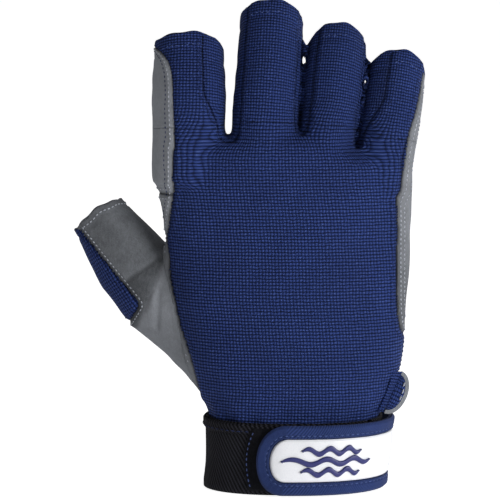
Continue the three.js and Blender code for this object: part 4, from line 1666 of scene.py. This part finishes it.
@dataclass
class Cuff:
    """The elastic cuff, its turned top, and the loop patch on its back."""

    height: float = 27.5
    wall: float = 1.7
    fold: float = 4.2
    slit: tuple[float, float] = (52, 56)
    patch_turns: tuple[float, float] = (-30, 50.5)
    patch_bow: float = 5.5
    patch_bottom: float = 1.8
    patch_height: float = 24
    patch_proud: float = 1.05

    def surface(self, turn: Array, height: Array, proud: Array) -> Array:
        """Points of the cuff, with its shallow ribs and its soft unevenness."""
        uneven = 0.25 * np.sin(np.radians(turn * 5)) * np.sin(height / 6)
        return CUFF.point(turn, height, proud + uneven * 0.5)

    def patch_edge(self, share: Array) -> Array:
        """The turn of the loop patch's bowed near edge, at shares of its height."""
        return self.patch_turns[0] + self.patch_bow * (2 * share - 1) ** 2

    def band(self, name: str, turns: tuple[float, float], columns: int) -> bpy.types.Object:
        """A band of the cuff between two turns."""
        low, high = 0.2, self.height

        def place(u: Array, v: Array) -> Array:
            """Lays the band on the cuff."""
            height = low + (high - low) * v
            lips = 0.35 * (bell(v - 1, 0.05) + bell(v, 0.05))
            return self.surface(turns[0] + (turns[1] - turns[0]) * u, height, 0.0 - lips)
        size = ((turns[1] - turns[0]) * WRIST_DEGREE, high - low)
        return grid_piece(name, columns, 12, place, size)

    def top_fold(self, name: str, turns: tuple[float, float], proud: float, *nodes: str) -> None:
        """The turned and stitched top edge, a soft roll over the cuff's rim."""
        def place(u: Array, v: Array) -> Array:
            """Rolls the fold over the rim."""
            height = self.height - self.fold + (self.fold - 0.3) * v
            roll = proud - 0.5 * bell(v, 0.09) - 0.75 * ease(v, 0.82, 1.0)
            ends = np.minimum(u, 1 - u) * abs(turns[1] - turns[0]) * WRIST_DEGREE
            return CUFF.point(turns[0] + (turns[1] - turns[0]) * u, height,
                              roll - 0.4 * bell(ends, 0.6))
        size = ((turns[1] - turns[0]) * WRIST_DEGREE, self.fold)
        piece = grid_piece(name, int(abs(turns[1] - turns[0]) / 2), 10, place, size)
        thicken(piece, 0.9)
        tailor(piece, Finish.WEBBING, ON_HAND, *nodes)

    def loop_patch(self) -> None:
        """The loop fabric under the strap, with its curved and stitched edge."""
        def place(u: Array, v: Array) -> Array:
            """Lays the patch, whose near edge bows."""
            start = self.patch_edge(v)
            edge = np.minimum(u * 78 * WRIST_DEGREE, np.minimum(v, 1 - v) * self.patch_height)
            return self.surface(start + (self.patch_turns[1] - start) * u,
                                self.patch_bottom + self.patch_height * v,
                                self.patch_proud - 0.45 * bell(edge, 0.5))
        piece = grid_piece("loop_fabric", 60, 22, place, (53, self.patch_height))
        thicken(piece, 0.7)
        tailor(piece, Finish.LOOP, ON_HAND, "loop_patch")

    def sew(self) -> None:
        """Sews the patch's edge and the fold."""
        share = np.linspace(0.05, 0.95, 60)
        around, behind = np.linspace(-74, 50, 200), np.linspace(130, 328, 200)
        fold_line = self.height - self.fold + 1.0
        blue = StitchRow(Finish.BLUE_THREAD, pitch=1.9, length=1.25, width=0.5)
        dark = StitchRow(Finish.DARK_THREAD, pitch=2.4, length=1.7, width=0.4)
        lines = (
            (blue, self.patch_edge(share) + 2.6, self.patch_bottom + self.patch_height * share,
             self.patch_proud),
            (dark, around, np.full_like(around, fold_line), 0.55),
            (dark, behind, np.full_like(behind, fold_line), 0.95),
        )
        sewing = Sewing("cuff_stitches")
        for row, turns, heights, proud in lines:
            points = CUFF.point(turns, heights, proud)
            out = CUFF.point(turns, heights, proud + 1) - points
            sewing.add(row, Trail(points, out), hand_only)
        sewing.finish()

    def make(self) -> None:
        """Makes the cuff."""
        pieces = (("cuff_back_band", (-75.5, self.slit[0]), 64, "cuff_back"),
                  ("cuff_side_band", (self.slit[1], 118), 36, "cuff_outer_side"),
                  ("cuff_palm_band", (118, 284.5), 84, "cuff_palm"))
        for name, turns, columns, node in pieces:
            piece = self.band(name, turns, columns)
            thicken(piece, self.wall)
            tailor(piece, Finish.WEBBING, ON_HAND, node)
        self.top_fold("cuff_top_fold_back", (-75, self.slit[0] - 1), 0.55)
        self.top_fold("cuff_top_fold_palm", (129, 329), 0.95, "cuff_top_binding")
        self.loop_patch()
        self.sew()


@dataclass
class Strap:
    """The wrist strap, with a bound edge and a moulded badge."""

    tip: float = -19
    root: float = 128
    bottom: float = 0.8
    top: float = 27.6
    tip_turn: float = 16
    binding: float = 5
    waves: tuple[tuple[str, float, tuple[float, float]], ...] = (
        ("badge_wave_top", 18, (3, 38)), ("badge_wave_middle", 14, (-5, 46)),
        ("badge_wave_bottom", 10, (3, 38)),
    )

    def reach(self, inset: Array) -> tuple[float, Array, Array]:
        """The strap's middle height, half its height and its tip's turn, inside its outline."""
        middle, half = (self.top + self.bottom) / 2, (self.top - self.bottom) / 2 - inset
        return middle, half, self.tip_turn - inset / WRIST_DEGREE

    def outline(self, share: Array, inset: Array, root_turn: float) -> tuple[Array, Array]:
        """Turns and heights round the strap's edge, from the top of its root to the bottom."""
        middle, half, tip_turn = self.reach(inset)
        shoulder = self.tip + self.tip_turn
        swing = math.pi * np.clip((share - 0.3) / 0.4, 0, 1)
        run = np.where(share < 0.5, share, 1 - share) / 0.3
        straight = root_turn + (shoulder - root_turn) * np.clip(run, 0, 1)
        turn = np.where((share < 0.3) | (share > 0.7), straight,
                        shoulder - tip_turn * np.sin(swing))
        return turn, middle + half * np.cos(swing)

    def layer(self, name: str, inset: float, proud: float, root_turn: float, columns: int,
              crown: float = 0.0, soft: float = 0.0) -> bpy.types.Object:
        """A layer inside the strap's outline, from its rounded tip to a turn."""
        middle, half, tip_turn = self.reach(inset)

        def place(u: Array, v: Array) -> Array:
            """Lays the layer over the cuff."""
            swing = math.pi * (1 - v)
            start = self.tip + self.tip_turn - tip_turn * np.sin(swing)
            turn = start + (root_turn - start) * u
            height = middle + half * np.cos(swing)
            edge = np.minimum(half - np.abs(height - middle),
                              u * (root_turn - start) * WRIST_DEGREE)
            rise = crown * ease(edge, 0, 4) - soft * bell(edge, 0.45)
            return CUFF.point(turn, height, proud + rise)
        size = ((root_turn - self.tip) * WRIST_DEGREE, 2 * half)
        return grid_piece(name, columns, 26, place, size)

    def bound_edge(self) -> None:
        """The folded tape round the strap, plump between its two edges."""
        def place(u: Array, v: Array) -> Array:
            """Carries the tape's section round the outline."""
            turn, height = self.outline(u, v * self.binding, self.root - 12)
            plump = 4.5 - 0.95 * (1 - ease(v, 0, 0.22)) - 0.5 * bell(v - 0.78, 0.07)
            plump = plump - 0.75 * ease(v, 0.9, 1.0) + 0.06 * np.sin(u * 210) * ease(v, 0, 0.3)
            return CUFF.point(turn, height, plump)
        piece = grid_piece("strap_bound_edge", 220, 18, place, (250, 5))
        thicken(piece, 0.8)
        tailor(piece, Finish.TAPE, ON_STRAP, "strap_binding")

    def wave(self, number: int, name: str, height: float, turns: tuple[float, float]) -> None:
        """One raised wave on the badge."""
        def place(u: Array, v: Array) -> Array:
            """Carries a lens-shaped section along the wave."""
            crest = np.sin(u * math.pi * 6)
            thick = 2.2 * np.sqrt(np.maximum(0.03, 1 - (2 * u - 1) ** 6))
            rise = 5.55 - 0.42 * (2 * v - 1) ** 4
            return CUFF.point(turns[0] + (turns[1] - turns[0]) * u,
                              height + crest + (v - 0.5) * thick, rise)
        piece = grid_piece(f"badge_wave_{number}", 72, 8, place, (23, 2.2))
        thicken(piece, 0.75)
        tailor(piece, Finish.WAVES, ON_STRAP, name)

    def sew(self) -> None:
        """Sews the tape down near its inner edge."""
        sewing = Sewing("strap_stitches")
        share = np.linspace(0.01, 0.99, 500)
        turn, height = self.outline(share, np.full_like(share, self.binding * 0.78), self.root - 12)
        points = CUFF.point(turn, height, 4.02)
        trail = Trail(points, CUFF.point(turn, height, 5.02) - points)
        row = StitchRow(Finish.BLUE_THREAD, pitch=2.1, length=1.5, width=0.5)
        sewing.add(row, trail, hand_only)
        for (finish, _), places in sewing.sewn.items():
            tailor(bead_piece(sewing.name, places), finish, ON_STRAP)

    def make(self) -> None:
        """Makes the strap."""
        band = self.layer("strap_band_cloth", 0.2, 3.4, self.root, 90, soft=0.4)
        thicken(band, 0.95)
        tailor(band, Finish.TAPE, ON_STRAP, "strap_band")
        hook = self.layer("strap_hook_tape", 4, 2.3, 46, 30)
        thicken(hook, 0.8)
        tailor(hook, Finish.LOOP, ON_STRAP, "hook_patch")
        self.bound_edge()
        plate = self.layer("badge_plate_moulded", self.binding + 0.3, 4.45, 96, 80, crown=0.35,
                           soft=0.5)
        thicken(plate, 1.0)
        tailor(plate, Finish.BADGE, ON_STRAP, "badge_plate")
        for number, wave in enumerate(self.waves, 1):
            self.wave(number, *wave)
        self.sew()


@dataclass
class PullTab:
    """The half-oval tab at the outer side of the wrist: suede, faced with folded knit."""

    low: tuple[float, float, float] = (35.8, -8, 29.2)
    high: tuple[float, float, float] = (42.7, -5, 44.8)
    reach: float = 5.6

    def __post_init__(self) -> None:
        """Works out the tab's own directions."""
        low, high = np.array(self.low), np.array(self.high)
        line = high - low
        self.half = float(np.linalg.norm(line)) / 2
        self.along = line / np.linalg.norm(line)
        outwards = -np.cross(np.cross([1, 0.15, 0], line), line)
        self.outwards = outwards / np.linalg.norm(outwards)
        self.through = np.cross(self.outwards, self.along)
        self.middle = (low + high) / 2

    def leaf(self, name: str, rise: float, shrink: float, root: float, thickness: float,
             finish: Finish, puff: float, node: str) -> None:
        """One half-oval leaf, plump in its middle."""
        def place(u: Array, v: Array) -> Array:
            """Maps the grid to a half-oval."""
            swing = (v - 0.5) * math.pi
            out = (u * (self.reach + root - shrink) - root) * np.cos(swing)
            up = (self.half - shrink) * np.sin(swing)
            plump = rise + puff * np.cos(swing) ** 0.7 * (1 - u**3)
            return (self.middle + out[:, None] * self.outwards + up[:, None] * self.along
                    + plump[:, None] * self.through)
        piece = grid_piece(name, 14, 30, place, (self.reach, 2 * self.half))
        bm = bmesh.new()
        bm.from_mesh(piece.data)
        bmesh.ops.remove_doubles(bm, verts=bm.verts[:], dist=0.02 * MM)
        bm.to_mesh(piece.data)
        bm.free()
        # A lighter painted tone on the tab's suede leaf.
        keep_numbers(piece, "nap", np.full(len(piece.data.vertices), 0.75))
        thicken(piece, thickness, -1.0 if rise > 0 else 1.0)
        tailor(piece, finish, ON_TAB, node)

    def root_fold(self) -> None:
        """The fold of knit between the glove's side and the tab's hinge."""
        def place(u: Array, v: Array) -> Array:
            """Fills from the hinge line to the skin."""
            line = (self.middle + ((v - 0.5) * 2 * self.half * 0.97)[:, None] * self.along
                    - 0.35 * self.outwards + 0.55 * self.through)
            skin = HAND.point(66.0, line[:, 2] + 0.8, -0.3)
            share = u[:, None]
            return line * (1 - share) + skin * share - (share * (1 - share) * 1.2) * self.through
        piece = grid_piece("tab_root_fold", 8, 20, place, (5, 2 * self.half))
        for name in ("seam", "nap"):
            keep_numbers(piece, name, np.zeros(len(piece.data.vertices)))
        thicken(piece, 0.8)
        tailor(piece, Finish.KNIT, ON_HAND)

    def make(self) -> None:
        """Makes the tab."""
        self.leaf("tab_suede_leaf", -0.2, 0.0, 0.2, 1.0, Finish.SUEDE, 0.0, "pull_tab")
        self.leaf("tab_knit_leaf", 0.95, 1.5, 0.2, 0.8, Finish.KNIT, 0.7, "pull_tab_facing")
        self.root_fold()
        turn = Matrix([list(self.along), list(self.outwards), list(self.through)]).transposed()
        size = Matrix.Scale(MM, 4) @ Matrix.Diagonal((1.0, 0.32, 0.4, 1))
        places = []
        for share in (-0.1, 0.2, 0.5):
            out = (self.reach - 2.3) * math.cos(share * 1.4)
            spot = (self.middle + self.along * self.half * share + self.outwards * out
                    + self.through * 1.7)
            places.append(Matrix.Translation(Vector(spot * MM)) @ turn.to_4x4() @ size)
        tailor(bead_piece("tab_stitches", places, 8, 6), Finish.PALE_THREAD, ON_TAB)


# --- The set

@dataclass
class Studio:
    """A pale sweep, soft lights and the camera. Lengths are in metres."""

    aim: tuple[float, float, float] = (-0.015, 0.0, 0.0906)
    distance: float = 1.0
    elevation: float = 7.0
    lens: float = 189.5
    reach: float = 18.0
    curve: float = 3.0
    paper: Colour = (0.93, 0.93, 0.94, 1)
    glow: float = 0.42
    seen_glow: float = 0.9
    room: float = 0.115
    lamps: tuple[tuple[str, tuple[float, float, float], float, float], ...] = (
        ("key_right", (0.6, -0.56, 0.2), 0.35, 4.8), ("top_front", (-0.1, -0.6, 1.2), 0.7, 0.5),
        ("fill_left", (-1.1, -0.8, 0.4), 0.9, 0.2), ("back_right", (0.8, 0.9, 0.6), 0.8, 3),
    )

    def sweep(self) -> None:
        """The floor, a wide disc that curves up far away on every side."""
        bm = bmesh.new()
        bmesh.ops.create_circle(bm, cap_ends=True, segments=128, radius=self.reach)
        edge = [e for e in bm.edges if e.is_boundary]
        for step in range(1, 9):
            swing = step / 8 * math.pi / 2
            made = bmesh.ops.extrude_edge_only(bm, edges=edge)["geom"]
            for vert in (v for v in made if isinstance(v, bmesh.types.BMVert)):
                way = Vector((vert.co.x, vert.co.y, 0)).normalized()
                vert.co = way * (self.reach + self.curve * math.sin(swing))
                vert.co.z = self.curve * (1 - math.cos(swing))
            edge = [e for e in made if isinstance(e, bmesh.types.BMEdge)]
        bmesh.ops.translate(bm, verts=bm.verts[:], vec=(0, 0, -0.0002))
        floor = object_from(bm, "paper_sweep")
        for polygon in floor.data.polygons:
            polygon.use_smooth = True
        cloth = Cloth("paper")
        grain = cloth.bench.noise(cloth.local, 60, 2)
        colour = cloth.bench.shade(self.paper, cloth.bench.ramp(grain, 0, 1, 0.99, 1.0))
        seen = cloth.bench.add("ShaderNodeLightPath").outputs["Is Camera Ray"]
        glow = cloth.bench.math("MULTIPLY_ADD", seen, self.seen_glow - self.glow, self.glow)
        paper = cloth.close(colour, 0.9, grain, 0.00001, Emission_Color=(1, 1, 1, 1),
                            Emission_Strength=glow)
        floor.data.materials.append(paper)

    def light(self, name: str, at: tuple[float, float, float], size: float, watts: float) -> None:
        """A square soft light that faces the object."""
        lamp = bpy.data.lights.new(name, "AREA")
        lamp.shape, lamp.size, lamp.energy = "SQUARE", size, watts
        holder = bpy.data.objects.new(name, lamp)
        holder.location = at
        holder.rotation_euler = (Vector(self.aim) - Vector(at)).to_track_quat("-Z", "Y").to_euler()
        bpy.context.scene.collection.objects.link(holder)

    def make(self) -> None:
        """Builds the set and places the camera."""
        self.sweep()
        for lamp in self.lamps:
            self.light(*lamp)
        world = bpy.data.worlds.new("soft_room")
        world.use_nodes = True
        sky = world.node_tree.nodes["Background"]
        sky.inputs[0].default_value = (1, 1, 1, 1)
        sky.inputs[1].default_value = self.room
        scene = bpy.context.scene
        scene.world = world
        scene.view_settings.view_transform = "Standard"
        camera = bpy.data.cameras.new("camera")
        camera.lens, camera.sensor_width = self.lens, 36
        holder = bpy.data.objects.new("camera", camera)
        lift = math.radians(self.elevation)
        away = Vector((0, -math.cos(lift), math.sin(lift))) * self.distance
        holder.location = Vector(self.aim) + away
        holder.rotation_euler = (-away).to_track_quat("-Z", "Y").to_euler()
        scene.collection.objects.link(holder)
        scene.camera = holder


def main() -> None:
    """Builds the glove and its set."""
    logging.basicConfig(level=logging.INFO, format="%(name)s %(message)s")
    for part in (Studio(), Skin(), Cuff(), Strap(), PullTab()):
        part.make()
        LOG.info("made the %s", type(part).__name__.lower())


if __name__ == "__main__":
    main()
